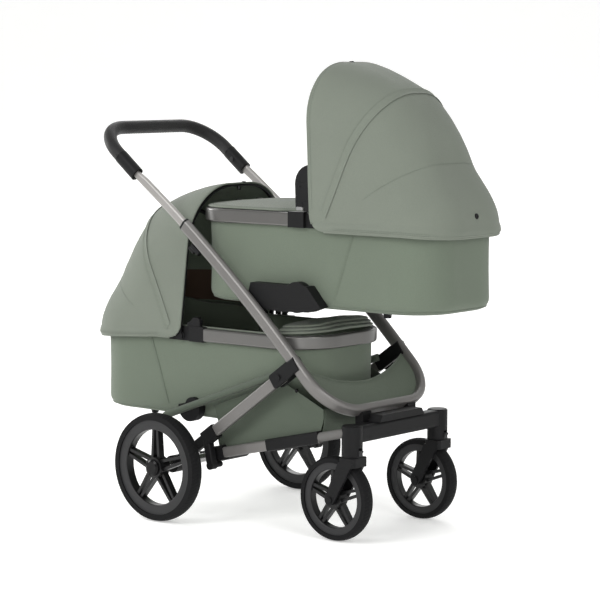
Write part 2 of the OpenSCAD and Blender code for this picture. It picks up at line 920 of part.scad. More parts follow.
module lower_tubes() {
    color(silver) both_sides() in_lower_frame()
        translate([end_block_len / 2, 0, 0])
            lower_bar(lower_silver_len - end_block_len / 2, lower_tube_h, lower_tube_w, 5);
}

// Rear end block, middle sleeve and front stub of each lower tube
module lower_tube_joints() {
    sleeve_end = lower_silver_len + lower_sleeve_len;
    color(black) both_sides() difference() {
        in_lower_frame() difference() {
            union() {
                translate([-6, 0, 0]) lower_bar(end_block_len, end_block_h, lower_tube_w + joint_grow, 6);
                translate([lower_silver_len - 30, 0, 0])
                    lower_bar(lower_sleeve_len + 30, lower_tube_h + 4, lower_tube_w + 3, 6);
                translate([sleeve_end - eps, 0, 0])
                    rotate([0, 90, stub_aim]) cylinder(d = stub_d, h = stub_len / cos(stub_aim));
            }
            translate([end_block_len / 2, 0, 0])
                lower_bar(lower_silver_len - end_block_len / 2, lower_tube_h, lower_tube_w, 5);
        }
        translate([caster_front, caster_track / 2, 0]) cylinder(d = housing_d, h = housing_top);
    }
}

module in_rail_frame() {
    translate([-rail_rear_back, rail_y, rail_rear_z]) rotate([0, 90 - rail_slope, 0]) children();
}

module rail(grow) {
    in_rail_frame() cylinder(d = rail_d + 2 * grow, h = rail_len);
}

// Rail with a round rear end
module basket_rails() {
    color(sage) both_sides() in_rail_frame() rotate_extrude() {
        square([rail_d / 2, rail_len]);
        intersection() {
            circle(d = rail_d);
            translate([0, -rail_d / 2]) square(rail_d / 2);
        }
    }
}

basket_rear = -lower_rear_back + 12;
basket_front = 252;
basket_lip = 46;
basket_y = lower_tube_y - (lower_tube_w + joint_grow) / 2 - slide_fit;
basket_floor_drop = 4;
basket_front_top = 334;

function floor_z(x) = lower_z(x) - basket_floor_drop;

// Open shopping basket: sides under the rails, floor between the lower tubes, front and rear walls
module basket() {
    side_top = [
        [basket_front + 10, basket_front_top],
        [hinge.x - 30, rail_z(hinge.x - 30) - rail_d],
        [basket_rear - 20, rail_z(basket_rear - 20) - rail_d]
    ];
    color(sage_dark) {
        both_sides() translate([0, basket_y, 0])
            rotate([90, 0, 0]) linear_extrude(basket_t)
                polygon(concat(
                    [[basket_rear, floor_z(basket_rear)], [basket_front, floor_z(basket_front)]], side_top
                ));
        both_sides() basket_hem();
        rotate([90, 0, 0]) linear_extrude(2 * basket_y - basket_t, center = true) {
            polygon([
                [basket_rear, floor_z(basket_rear)], [basket_front, floor_z(basket_front)],
                [basket_front, floor_z(basket_front) + basket_t],
                [basket_rear, floor_z(basket_rear) + basket_t]
            ]);
            polygon([
                [basket_front, floor_z(basket_front)], [basket_front + 10, basket_front_top],
                [basket_front + 10 - basket_t, basket_front_top],
                [basket_front - basket_t, floor_z(basket_front)]
            ]);
            polygon([
                [basket_rear, floor_z(basket_rear)], [basket_rear - 6, floor_z(basket_rear) + basket_lip],
                [basket_rear - 6 + basket_t, floor_z(basket_rear) + basket_lip],
                [basket_rear + basket_t, floor_z(basket_rear)]
            ]);
        }
    }
}

// Hem that hangs a basket side on its rail
module basket_hem() {
    from = basket_rear - 20;
    to = hinge.x - 30;
    rotate([90, 0, 0])
        translate([0, 0, -rail_y + rail_d / 2 + slide_fit])
            linear_extrude(rail_y - rail_d / 2 - slide_fit - basket_y + basket_t)
                polygon([
                    [from, rail_z(from) - rail_d], [to, rail_z(to) - rail_d],
                    [to, rail_z(to) - rail_d + 2 * basket_t], [from, rail_z(from) - rail_d + 2 * basket_t]
                ]);
}

panel_side_up = 150;
panel_mid_up = 92;
panel_sag = 16;
panel_t = 3;
panel_rows = 6;
panel_cols = 20;

// Sling of cloth inside the front loop, with a sagging upper edge
module front_panel() {
    inner = loop_corner_r - tube_w / 2 - slide_fit;
    half = tube_y - tube_w / 2 - slide_fit;
    function edge_x(v) =
        let (over = max(0, abs(v) - (half - inner))) sqrt(max(0, inner * inner - over * over));
    function top_x(v) = -panel_mid_up + loop_corner_r - (panel_side_up - panel_mid_up) * pow(v / half, 2);
    function dip(i, v) = -panel_sag * sin(180 * i / panel_rows * 0.5 + 45) * (1 - pow(v / half, 2));
    function panel_row(i, low) = [
        for (j = [0 : panel_cols])
            let (v = half * (1 - eps) * sin(90 * (2 * j / panel_cols - 1)), f = i / panel_rows)
                [top_x(v) + (edge_x(v) - top_x(v)) * f, v, dip(i, v) - low]
    ];
    color(sage) translate([loop_start.x, 0, loop_start.y]) rotate([0, loop_slope, 0])
        grid_solid(
            [for (i = [0 : panel_rows]) panel_row(i, 0)],
            [for (i = [0 : panel_rows]) panel_row(i, panel_t)]
        );
}

// Cot adapters

upper_boss = [cot_pitch / 2, upper_cot_z + boss_up];
lower_boss = [-cot_pitch / 2, lower_cot_z + boss_up];
adapter_in = cot_half_w + slide_fit;
boss_out = cot_half_w + boss_t;

// Seat for a mounting boss, open at the top
module boss_seat(at) {
    translate([at.x, 0, at.y]) {
        translate([0, (adapter_in + boss_out + slide_fit) / 2 - 1, 0])
            across(boss_out + slide_fit - adapter_in + 2, 2 * (boss_r + slide_fit));
        translate([-boss_r - slide_fit, adapter_in - 2, 0])
            cube([2 * (boss_r + slide_fit), boss_out + slide_fit - adapter_in + 2, 100]);
    }
}

// Arm on the inner face of a main tube that carries the upper cot
module upper_adapters() {
    root = on_bend(42.2);
    color(black) both_sides() difference() {
        translate([0, tube_inner_y, 0]) rotate([90, 0, 0]) linear_extrude(tube_inner_y - adapter_in) {
            polygon([
                [root.x - 10, upper_boss.y + 30], [upper_boss.x + 34, upper_boss.y + 30],
                [upper_boss.x + 80, upper_boss.y - 22], [upper_boss.x + 40, upper_boss.y - 36],
                [upper_boss.x - 60, upper_boss.y - 40], [root.x + 40, upper_boss.y - 36],
                [root.x - 22, upper_boss.y - 12]
            ]);
            translate(upper_boss) circle(r = boss_r + 14);
        }
        boss_seat(upper_boss);
    }
}

// Cradle on a basket rail that carries the lower cot
module lower_adapters() {
    reach = rail_y - adapter_in;
    color(black) both_sides() difference() {
        translate([lower_boss.x, rail_y, lower_boss.y])
            rotate([90, 0, 0]) linear_extrude(reach) intersection() {
                circle(r = boss_r + 12);
                translate([-60, -60]) square([120, 66]);
            }
        boss_seat(lower_boss);
        rail(0);
    }
}

// Cots

module at_upper_cot() {
    translate([cot_pitch / 2, 0, upper_cot_z]) children();
}

module at_lower_cot() {
    translate([-cot_pitch / 2, 0, lower_cot_z]) rotate(180) children();
}

module cot_shell() {
    color(sage_dark) difference() {
        tub(cot_len, cot_w, cot_corner_r, cot_top - slide_fit, cot_fillet);
        translate([0, 0, cot_wall])
            tub(
                cot_len - 2 * cot_wall, cot_w - 2 * cot_wall, cot_corner_r - cot_wall, cot_top,
                cot_fillet - cot_wall
            );
    }
}

module cot_rim() {
    color(silver) difference() {
        translate([0, 0, cot_depth + rim_h / 2])
            band_sweep(cot_len, cot_w, cot_corner_r) translate([rim_t / 2, 0]) rim_section();
        for (s = [-1, 1])
            translate([block_foot, s * rim_half_w - rim_half_w / 2, cot_depth - 1])
                cube([block_head - block_foot, rim_half_w, rim_h + 2]);
    }
}

// Rim band section, rounded on its outer side
module rim_section() {
    translate([-rim_round / 2, 0]) square([rim_t - rim_round, rim_h], center = true);
    square([rim_t, rim_h - 2 * rim_round], center = true);
    for (s = [-1, 1]) translate([rim_t / 2 - rim_round, s * (rim_h / 2 - rim_round)]) circle(r = rim_round);
}

// Blocks at mid length that close the rim and carry the hood pivots
module cot_hinge_blocks() {
    color(black) both_sides() {
        translate([block_foot, cot_half_w, cot_depth - 2]) cube([block_step - block_foot, rim_t, rim_h + 5]);
        translate([block_step - eps, cot_half_w, cot_depth - 2])
            cube([block_head - block_step + eps, block_half_w - cot_half_w, rim_h + 2]);
        translate([pivot_head, cot_half_w, pivot_w])
            rotate([-90, 0, 0]) cylinder(d = pivot_pin_d, h = lead_layer + bow_t / 2 - cot_half_w);
    }
}

module cot_bosses() {
    color(black) {
        both_sides() translate([0, cot_half_w, boss_up])
            rotate([-90, 0, 0]) cylinder(r = boss_r, h = boss_t);
        for (sx = [-1, 1], sy = [-1, 1])
            translate([sx * foot_spots.x, sy * foot_spots.y, -foot_h])
                cylinder(d1 = foot_d - 5, d2 = foot_d, h = foot_h);
    }
}

apron_half_w = cot_half_w + 6;
apron_neck_half_w = cot_half_w - 8;
apron_end = -cot_half_len - 8;
apron_head = 26;
apron_t = 4;
apron_rows = 14;
apron_cols = 12;

// Half width of the apron at a place along the cot
function apron_width(u) =
    let (
        r = cot_corner_r + 6,
        over = max(0, apron_end + r - u),
        corner = r - sqrt(max(0, r * r - over * over)),
        neck = u > block_foot - 30 ? min(1, (u - block_foot + 30) / 24) : 0
    )
        apron_half_w - corner - neck * (apron_half_w - apron_neck_half_w);

module cot_apron(length, thick) {
    function row(i, rise) =
        let (
            f = i / apron_rows,
            u = apron_end + length * (f < 0.4 ? f * f / 0.8 : f - 0.2) / 0.8,
            half = max(apron_width(u), 20)
        ) [
            for (j = [0 : apron_cols])
                let (v = 2 * j / apron_cols - 1)
                    [u, half * v, cot_top + slide_fit + rise
                        + apron_crown * sin(min(90, 200 * f)) * (1 - v * v)
                        + (rise > 0 ? -1.5 * pow(v, 6) : 0)]
        ];
    color(sage) grid_solid(
        [for (i = [0 : apron_rows]) row(i, thick)],
        [for (i = [0 : apron_rows]) row(i, 0)]
    );
}

mattress_gap = 6;
mattress_rows = 16;
mattress_cols = 10;
mattress_pull = 4;

// Crowned mattress with drawn-in sides
module cot_mattress() {
    half_len = cot_half_len - cot_wall - mattress_gap;
    half_w = cot_half_w - cot_wall - mattress_gap;
    r = cot_corner_r - cot_wall - mattress_gap;
    base = cot_wall + slide_fit;
    function half_at(u) =
        let (over = max(0, abs(u) - (half_len - r)))
            half_w - (r - sqrt(max(0, r * r - over * over))) - mattress_pull * cos(90 * u / half_len);
    function row(i, top) =
        let (
            u = -half_len * cos(180 * i / mattress_rows),
            half = max(half_at(u), 40),
            ends = 1 - pow(u / half_len, 6)
        ) [
            for (j = [0 : mattress_cols])
                let (v = -cos(180 * j / mattress_cols), edge = (1 - pow(abs(v), 6)) * ends)
                    [u, half * v, top
                        ? base + mattress_h * (0.7 + 0.3 * edge) + mattress_crown * (1 - v * v) * ends
                        : base + cot_fillet * 0.3 * (1 - edge)]
        ];
    color(cream) grid_solid(
        [for (i = [0 : mattress_rows]) row(i, true)],
        [for (i = [0 : mattress_rows]) row(i, false)]
    );
}

// Hoods

// Angles and reaches of the canopy from the hem to the lead edge, with the corner radius of each arch
function canopy_ribs(lead_angle) = [
    [-hem_drop, hem_reach, hem_corner_r], [12, hem_reach - 12, hem_corner_r + 4], [29, mid_reach - 28, 154],
    [48, mid_reach + 10, mid_corner_r + 2], [mid_angle, mid_reach, mid_corner_r + 4],
    [(mid_angle + lead_angle) / 2, (mid_reach + lead_reach) / 2 - 6, (mid_corner_r + lead_corner_r) / 2 + 6],
    [lead_angle, lead_reach, lead_corner_r]
];

function rib_at(ribs, angle) =
    let (
        k = [for (i = [0 : len(ribs) - 2]) if (angle >= ribs[i][0]) i],
        i = len(k) > 0 ? k[len(k) - 1] : 0,
        f = (angle - ribs[i][0]) / (ribs[i + 1][0] - ribs[i][0])
    )
        ribs[i] + (ribs[i + 1] - ribs[i]) * f;

// Points along an arch of legs, corners and a cross piece, as [reach, side]
function arch_points(start, half, reach, r) = concat(
    [for (k = [0 : leg_steps - 1]) [start + (reach - r - start) * k / leg_steps, -half]],
    [
        for (k = [0 : corner_steps - 1])
            let (f = 90 * k / corner_steps) [reach - r + r * sin(f), -half + r * (1 - cos(f))]
    ],
    [for (k = [0 : top_steps - 1]) [reach, (half - r) * (2 * k / top_steps - 1)]],
    [
        for (k = [0 : corner_steps - 1])
            let (f = 90 * k / corner_steps) [reach - r + r * cos(f), half - r + r * sin(f)]
    ],
    [for (k = [0 : leg_steps]) [reach - r + (start - reach + r) * k / leg_steps, half]]
);

hem_corner_r = 142;
mid_corner_r = 176;
lead_corner_r = 152;
leg_steps = 2;
corner_steps = 11;
top_steps = 2;

function canopy_row(ribs, angle, inset) =
    let (rib = rib_at(ribs, angle)) [
        for (p = arch_points(canopy_start, canopy_half_w - inset, rib[1] - inset, rib[2] - inset))
            [pivot_head + p.x * cos(angle), p.y, pivot_w + p.x * sin(angle)]
    ];

module canopy(lead_angle, from_angle, to_angle, rows) {
    ribs = canopy_ribs(lead_angle);
    angles = [for (i = [0 : rows]) from_angle + (to_angle - from_angle) * i / rows];
    color(sage) grid_solid(
        [for (a = angles) canopy_row(ribs, a, canopy_t)],
        [for (a = angles) canopy_row(ribs, a, 0)]
    );
}

module in_bow_plane(angle) {
    translate([pivot_head, 0, pivot_w]) rotate([0, -angle, 0]) children();
}

module bow(angle, layer, reach, corner_r) {
    in_bow_plane(angle) difference() {
        union() {
            u_sweep(pivot_ring_r - 3, reach, layer, corner_r) square([bow_t, bow_w], center = true);
            both_sides() translate([0, layer, 0]) across(bow_t, 2 * pivot_ring_r);
        }
        across(2 * layer + 20, pivot_pin_d + 2 * run_fit);
    }
}

bow_inset = canopy_t + hood_slack + bow_t / 2;

// Lead bow, with the broad release arm that stands over one hinge block
module lead_bow(angle) {
    color(black) {
        bow(angle, lead_layer, lead_reach - bow_inset, lead_corner_r + 1);
        in_bow_plane(angle)
            translate([arm_start, -lead_layer, -bow_w / 2])
                rotate([90, 0, 0]) linear_extrude(bow_t, center = true) arm_plate(arm_h - arm_start);
    }
}

// Plate with one broad round corner at its free top
module arm_plate(length) {
    difference() {
        square([length, arm_w]);
        translate([length - arm_round, arm_w - arm_round]) difference() {
            square(arm_round + 1);
            circle(r = arm_round);
        }
    }
}

module mid_bow() {
    color(dark_grey) bow(mid_angle, mid_layer, mid_reach - bow_inset, mid_corner_r);
}

front_rows = 5;
rear_rows = 10;
seam_gap = 0.5;

module upper_shell() at_upper_cot() cot_shell();

module upper_rim() at_upper_cot() cot_rim();

module upper_hinge_blocks() at_upper_cot() cot_hinge_blocks();

module upper_bosses() at_upper_cot() cot_bosses();

module upper_apron() at_upper_cot() cot_apron(apron_head - apron_end, apron_t);

module upper_mattress() at_upper_cot() cot_mattress();

module upper_lead_bow() at_upper_cot() lead_bow(upper_lead_angle);

module upper_mid_bow() at_upper_cot() mid_bow();

module upper_canopy_front() at_upper_cot()
    canopy(upper_lead_angle, mid_angle + seam_gap, upper_lead_angle + 1, front_rows);

module upper_canopy_rear() at_upper_cot() canopy(upper_lead_angle, -hem_drop, mid_angle, rear_rows);

module lower_shell() at_lower_cot() cot_shell();

module lower_rim() at_lower_cot() cot_rim();

module lower_hinge_blocks() at_lower_cot() cot_hinge_blocks();

module lower_bosses() at_lower_cot() cot_bosses();

module lower_apron() at_lower_cot() cot_apron(lower_apron_len, lower_apron_fold);

module lower_mattress() at_lower_cot() cot_mattress();

module lower_lead_bow() at_lower_cot() lead_bow(lower_lead_angle);

module lower_mid_bow() at_lower_cot() mid_bow();

module lower_canopy_front() at_lower_cot()
    canopy(lower_lead_angle, mid_angle + seam_gap, lower_lead_angle + 1, front_rows);

module lower_canopy_rear() at_lower_cot() canopy(lower_lead_angle, -hem_drop, mid_angle, rear_rows);

main_frame();
tube_collars();
front_axle();
axle_cover();
lower_tubes();
lower_tube_joints();
basket_rails();
basket();
front_panel();
hinge_brackets();
hinge_pins();
upper_adapters();
lower_adapters();
handle_tube();
handle_grip();
grip_ends();
height_button_left();
height_button_right();
fold_trigger_left();
fold_trigger_right();
rear_legs();
rear_brackets();
rear_axle();
brake_pedal();
rear_tyre_left();
rear_rim_left();
rear_cap_left();
rear_tyre_right();
rear_rim_right();
rear_cap_right();
fork_left();
fork_pin_left();
front_tyre_left();
front_rim_left();
fork_right();
fork_pin_right();
front_tyre_right();
front_rim_right();
swivel_lock_left();
swivel_lock_right();
upper_shell();
upper_rim();
upper_hinge_blocks();
upper_bosses();
upper_apron();
upper_mattress();
upper_lead_bow();
upper_mid_bow();
upper_canopy_front();
upper_canopy_rear();
lower_shell();
lower_rim();
lower_hinge_blocks();
lower_bosses();
lower_apron();
lower_mattress();
lower_lead_bow();
lower_mid_bow();
lower_canopy_front();
lower_canopy_rear();
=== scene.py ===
"""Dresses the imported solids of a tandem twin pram: cloth, padding, finishes, light and camera."""

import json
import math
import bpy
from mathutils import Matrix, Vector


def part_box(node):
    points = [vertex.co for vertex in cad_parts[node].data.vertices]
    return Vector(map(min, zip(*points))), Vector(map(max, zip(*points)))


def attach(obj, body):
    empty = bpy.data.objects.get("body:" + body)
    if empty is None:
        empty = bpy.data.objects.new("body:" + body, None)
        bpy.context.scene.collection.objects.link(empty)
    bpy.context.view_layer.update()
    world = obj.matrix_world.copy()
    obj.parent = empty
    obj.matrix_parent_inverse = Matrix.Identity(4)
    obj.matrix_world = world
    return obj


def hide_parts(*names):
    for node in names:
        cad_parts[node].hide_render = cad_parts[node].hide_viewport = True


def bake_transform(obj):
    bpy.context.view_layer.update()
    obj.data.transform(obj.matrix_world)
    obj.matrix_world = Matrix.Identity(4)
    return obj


bl_info = {
    "name": "Twin Pram Dresser",
    "version": (1, 0, 0),
    "blender": (4, 5, 0),
    "location": "3D View > Sidebar > Pram",
    "description": "Builds the cloth, padding and finishes of a tandem twin pram round its solids",
    "category": "Object",
}

import bpy
import numpy as np
from bpy.props import FloatProperty, FloatVectorProperty, IntProperty, PointerProperty
from mathutils import Vector, noise

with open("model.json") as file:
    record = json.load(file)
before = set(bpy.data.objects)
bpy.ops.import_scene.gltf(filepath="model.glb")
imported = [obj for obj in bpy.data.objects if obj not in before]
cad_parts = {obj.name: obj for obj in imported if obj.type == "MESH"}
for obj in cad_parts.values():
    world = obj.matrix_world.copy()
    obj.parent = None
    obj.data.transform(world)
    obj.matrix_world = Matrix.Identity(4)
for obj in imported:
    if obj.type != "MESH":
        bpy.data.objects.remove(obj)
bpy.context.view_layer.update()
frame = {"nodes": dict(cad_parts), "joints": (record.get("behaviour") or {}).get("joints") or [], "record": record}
JOINTS = {joint["name"]: joint for joint in frame["joints"]}


def span(node):
    """Lowest and highest corner of a solid, as arrays."""
    low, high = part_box(node)
    return np.array(low, float), np.array(high, float)


SHELL_LOW, SHELL_HIGH = span("upper_shell")
RIM_LOW, RIM_HIGH = span("upper_rim")
LOWER_LOW, LOWER_HIGH = span("lower_shell")


# Sizes and colours


def length(title, words, value):
    """A length that a user may change."""
    return FloatProperty(
        name=title, description=words, default=value, subtype="DISTANCE", unit="LENGTH"
    )


class PramSizes(bpy.types.PropertyGroup):
    """Sizes of the cloth and padding."""

    cloth: length("Hood cloth", "Thickness of the hood cloth with its lining", 0.0026)
    thread: length("Thread", "Spacing of the weave", 0.0016)
    stitch: length("Stitch", "Length of one stitch", 0.0036)
    piping: length("Piping", "Radius of the piping on cloth edges", 0.0024)
    snap: length("Snap", "Radius of a press stud", 0.0062)
    swell: length("Swell", "Most that a padded piece may swell", 0.006)
    columns: IntProperty(
        name="Columns",
        description="Columns of a hood's mesh across its arch",
        default=88,
        min=24,
        max=160,
    )


def shade(red, green, blue):
    """Linear colour of a screen colour given in 0 to 255."""

    def linear(c):
        c /= 255
        return c / 12.92 if c <= 0.04045 else ((c + 0.055) / 1.055) ** 2.4

    return tuple(linear(c) for c in (red, green, blue))


def colour(title, words, value):
    """A colour that a user may change."""
    return FloatVectorProperty(
        name=title, description=words, default=value, subtype="COLOR", size=3, min=0.0, max=1.0
    )


class PramColours(bpy.types.PropertyGroup):
    """Colours of the pram's finishes."""

    sage: colour("Sage cloth", "Hoods and aprons", shade(108, 114, 104))
    # Cot cloth: the sage made darker, partly as the cloth's own tone and partly as painted shade under the hood's
    # overhang.
    sage_side: colour("Cot cloth", "Cot sides", shade(97, 106, 93))
    # Basket cloth: a darker copy of the cot cloth, painted shade for the shadow the basket and its rail sleeves
    # lie in.
    basket: colour("Basket cloth", "Basket, its rail sleeves and the sling", shade(76, 84, 73))
    lining: colour("Lining", "Inside of the hoods and cots", shade(118, 128, 113))
    brown: colour("Brown band", "Band inside the cots' head ends", shade(92, 74, 62))
    thread: colour("Thread", "Stitching", shade(92, 99, 88))
    gunmetal: colour("Gunmetal", "Frame tubes", shade(108, 106, 104))
    trim: colour("Trim", "Cot rims", shade(100, 99, 97))
    black: colour("Black", "Moulded pieces", shade(21, 21, 22))
    ring: colour("Ring", "Wheel rings", shade(40, 40, 41))
    rubber: colour("Rubber", "Tyres", shade(18, 18, 19))
    leather: colour("Leather", "Push grip", shade(19, 18, 18))
    cream: colour("Cream", "Mattress covers", shade(206, 203, 194))
    steel: colour("Steel", "Pins and studs", shade(170, 170, 170))
    floor: colour("Floor", "Studio floor", shade(244, 244, 243))


# Shader maths


class Value:
    """A shader socket that takes part in Python expressions; each operation adds a Math node."""

    def __init__(self, finish, socket):
        self.finish = finish
        self.socket = socket

    def maths(self, operation, *others):
        inputs = dict(enumerate((self,) + others))
        return self.finish.node("ShaderNodeMath", {"operation": operation}, inputs)

    def __add__(self, other):
        return self.maths("ADD", other)

    __radd__ = __add__

    def __sub__(self, other):
        return self.maths("SUBTRACT", other)

    def __rsub__(self, other):
        return self.finish.node("ShaderNodeMath", {"operation": "SUBTRACT"}, {0: other, 1: self})

    def __mul__(self, other):
        return self.maths("MULTIPLY", other)

    __rmul__ = __mul__

    def __truediv__(self, other):
        return self.maths("DIVIDE", other)

    def __rtruediv__(self, other):
        return self.finish.node("ShaderNodeMath", {"operation": "DIVIDE"}, {0: other, 1: self})

    def __pow__(self, other):
        return self.maths("POWER", other)

    def __abs__(self):
        return self.maths("ABSOLUTE")

    def sine(self):
        return self.maths("SINE")

    def ramp(self, low, high):
        """Smooth step from 0 at low to 1 at high."""
        settings = {"interpolation_type": "SMOOTHSTEP"}
        return self.finish.node("ShaderNodeMapRange", settings, {0: self, 1: low, 2: high})


class Finish:
    """One procedural material."""

    made = {}

    def __init__(self, name):
        self.material = bpy.data.materials.new(name)
        self.material.use_nodes = True
        self.tree = self.material.node_tree
        self.tree.nodes.clear()
        self.shader = self.tree.nodes.new("ShaderNodeBsdfPrincipled")
        output = self.tree.nodes.new("ShaderNodeOutputMaterial")
        self.tree.links.new(self.shader.outputs[0], output.inputs[0])
        Finish.made[name] = self

    def node(self, kind, settings=None, inputs=None, out=0):
        """Adds a node: its settings first, then its sockets' values or links."""
        made = self.tree.nodes.new(kind)
        for key, value in (settings or {}).items():
            setattr(made, key, value)
        for key, value in (inputs or {}).items():
            if isinstance(value, Value):
                self.tree.links.new(value.socket, made.inputs[key])
            else:
                made.inputs[key].default_value = value
        return Value(self, made.outputs[out])

    def place(self):
        return self.node("ShaderNodeTexCoord", out="Object")

    def split(self, vector):
        made = self.node("ShaderNodeSeparateXYZ", None, {0: vector}).socket.node
        return [Value(self, made.outputs[i]) for i in range(3)]

    def grain(self, vector, scale, detail):
        inputs = {"Vector": vector, "Scale": scale, "Detail": detail, "Roughness": 0.55}
        return self.node("ShaderNodeTexNoise", None, inputs)

    def mix(self, share, first, second):
        """Blend of two colours."""
        first, second = [c if isinstance(c, Value) else (*c[:3], 1.0) for c in (first, second)]
        settings = {"data_type": "RGBA"}
        return self.node("ShaderNodeMix", settings, {0: share, 6: first, 7: second}, out=2)

    def bump(self, height, distance, strength):
        inputs = {"Height": height, "Distance": distance, "Strength": strength}
        return self.node("ShaderNodeBump", None, inputs)

    def wear(self, **sockets):
        """Sets the shader: values where constant, links where they vary over the surface."""
        for key, value in sockets.items():
            socket = self.shader.inputs[key.replace("_", " ")]
            if isinstance(value, Value):
                self.tree.links.new(value.socket, socket)
            else:
                socket.default_value = (*value, 1.0) if isinstance(value, tuple) else value
        return self.material


def darker(tone, share):
    return tuple(c * share for c in tone)


def woven(name, tone, thread, contrast=0.12, band=None):
    """Woven cloth: a plain weave laid flat to each face, flecked, perhaps with a level band."""
    depth, rough, blur = 0.00022, 0.86, 0.001
    finish = Finish(name)
    place = finish.place()
    spots = finish.split(place)
    x, y, z = [(c * (2 * math.pi / thread)).sine() for c in spots]
    facing = finish.node("ShaderNodeTexCoord", out="Normal")
    nx, ny, nz = [c * c for c in finish.split(facing)]
    weave = ny * x * z + nx * y * z + nz * x * y
    fleck = finish.grain(place, 520.0, 2.0)
    cloud = finish.grain(place, 7.0, 3.0)
    light = 0.5 + 0.22 * weave + 0.9 * (fleck - 0.5) + 0.5 * (cloud - 0.5)
    base = finish.mix(light, darker(tone, 1 - contrast), darker(tone, 1 + contrast))
    if band:
        low, high, other = band
        inside = spots[2].ramp(low - blur, low) * (1 - spots[2].ramp(high, high + blur))
        base = finish.mix(inside, base, other)
    normal = finish.bump(weave + 0.8 * fleck, depth, 0.5)
    return finish.wear(
        Base_Color=base,
        Roughness=rough - 0.08 * (fleck - 0.5),
        Normal=normal,
        Sheen_Weight=0.12,
        Sheen_Roughness=0.45,
        Specular_IOR_Level=0.25,
    )


def moulded(name, tone, rough=0.5, ahead=None):
    """Moulded plastic, finely grained, with a cloudy tone; another tone ahead of a place in X."""
    finish = Finish(name)
    place = finish.place()
    fine = finish.grain(place, 900.0, 2.0)
    cloud = finish.grain(place, 18.0, 4.0)
    base = finish.mix(cloud, darker(tone, 0.85), darker(tone, 1.2))
    if ahead:
        start, other = ahead
        base = finish.mix(finish.split(place)[0].ramp(start, start + 0.002), base, other)
    return finish.wear(
        Base_Color=base,
        Roughness=rough + 0.1 * (cloud - 0.5) + 0.06 * (fine - 0.5),
        Normal=finish.bump(fine, 0.00006, 0.6),
        Specular_IOR_Level=0.16,
    )


def satin_metal(name, tone, rough, metallic):
    """Satin painted or anodised metal with a fine flake."""
    finish = Finish(name)
    place = finish.place()
    fleck = finish.grain(place, 2600.0, 1.0)
    cloud = finish.grain(place, 11.0, 4.0)
    base = finish.mix(0.5 * fleck + 0.5 * cloud, darker(tone, 0.86), darker(tone, 1.14))
    return finish.wear(
        Base_Color=base,
        Metallic=metallic,
        Roughness=rough + 0.12 * (cloud - 0.5) + 0.05 * (fleck - 0.5),
        Normal=finish.bump(fleck, 0.00003, 0.4),
        Coat_Weight=0.15,
    )


def grained_leather(name, tone):
    """Pebbled leatherette, with painted shade in the creases between pebbles."""
    finish = Finish(name)
    place = finish.place()
    pebble = finish.node(
        "ShaderNodeTexVoronoi", {"feature": "DISTANCE_TO_EDGE"}, {"Vector": place, "Scale": 620.0}
    )
    crease = pebble.ramp(0.0, 0.16)
    cloud = finish.grain(place, 26.0, 4.0)
    # The creases between pebbles are painted darker than the pebbles, as painted shade; the cloud adds random
    # tone.
    base = finish.mix(crease * (0.6 + 0.4 * cloud), darker(tone, 0.6), darker(tone, 1.25))
    return finish.wear(
        Base_Color=base,
        Roughness=0.62 - 0.16 * crease + 0.12 * (cloud - 0.5),
        Normal=finish.bump(crease, 0.00025, 0.55),
        Specular_IOR_Level=0.35,
    )


def about_axle(finish, centre):
    """Angle round a wheel's axle, distance from it and place along it."""
    x, y, z = finish.split(finish.place())
    x, z = x - centre[0], z - centre[2]
    angle = z.maths("ARCTAN2", x)
    reach = (x * x + z * z).maths("SQRT")
    return angle, reach, abs(abs(y) - abs(centre[1]))


def treaded(name, tone, node, blocks):
    """Foam tyre with angled tread bars on the crown and fine rings on its walls."""
    low, high = span(node)
    finish = Finish(name)
    angle, reach, side = about_axle(finish, (low + high) / 2)
    outer = (high[2] - low[2]) / 2
    bars = (angle * blocks + side * 260.0).sine().ramp(-0.25, 0.25)
    crown = reach.ramp(outer - 0.0052, outer - 0.0032)
    rings = (reach * 2600.0).sine()
    dust = finish.grain(finish.place(), 34.0, 4.0)
    height = crown * bars + 0.06 * (1 - crown) * rings
    # Colour follows the height: raised tread bars and wall rings are painted lighter than the grooves, as painted
    # shade in the grooves; dust adds random tone.
    base = finish.mix(dust * 0.7 + 0.3 * height, darker(tone, 0.75), darker(tone, 1.3))
    return finish.wear(
        Base_Color=base,
        Roughness=0.78 + 0.16 * (dust - 0.5),
        Normal=finish.bump(height, 0.0008, 0.5),
        Specular_IOR_Level=0.16,
    )


def spoked(name, ring, black, node, ring_depth):
    """Wheel with a grey ring outside and black gloss spokes and hub inside."""
    low, high = span(node)
    finish = Finish(name)
    _, reach, _ = about_axle(finish, (low + high) / 2)
    edge = (high[2] - low[2]) / 2 - ring_depth
    outside = reach.ramp(edge + 0.0002, edge + 0.0012)
    fine = finish.grain(finish.place(), 800.0, 2.0)
    cloud = finish.grain(finish.place(), 24.0, 3.0)
    tone = finish.mix(outside, darker(black, 0.55), ring)
    base = finish.mix(0.25 * cloud, tone, darker(ring, 0.6))
    return finish.wear(
        Base_Color=base,
        Roughness=0.34 + 0.14 * outside + 0.08 * (cloud - 0.5),
        Normal=finish.bump(fine, 0.00005, 0.5),
        Specular_IOR_Level=0.3,
    )


# Mesh stock


def unit(rows):
    """Rows of vectors brought to length one."""
    return rows / np.linalg.norm(rows, axis=1)[:, None]


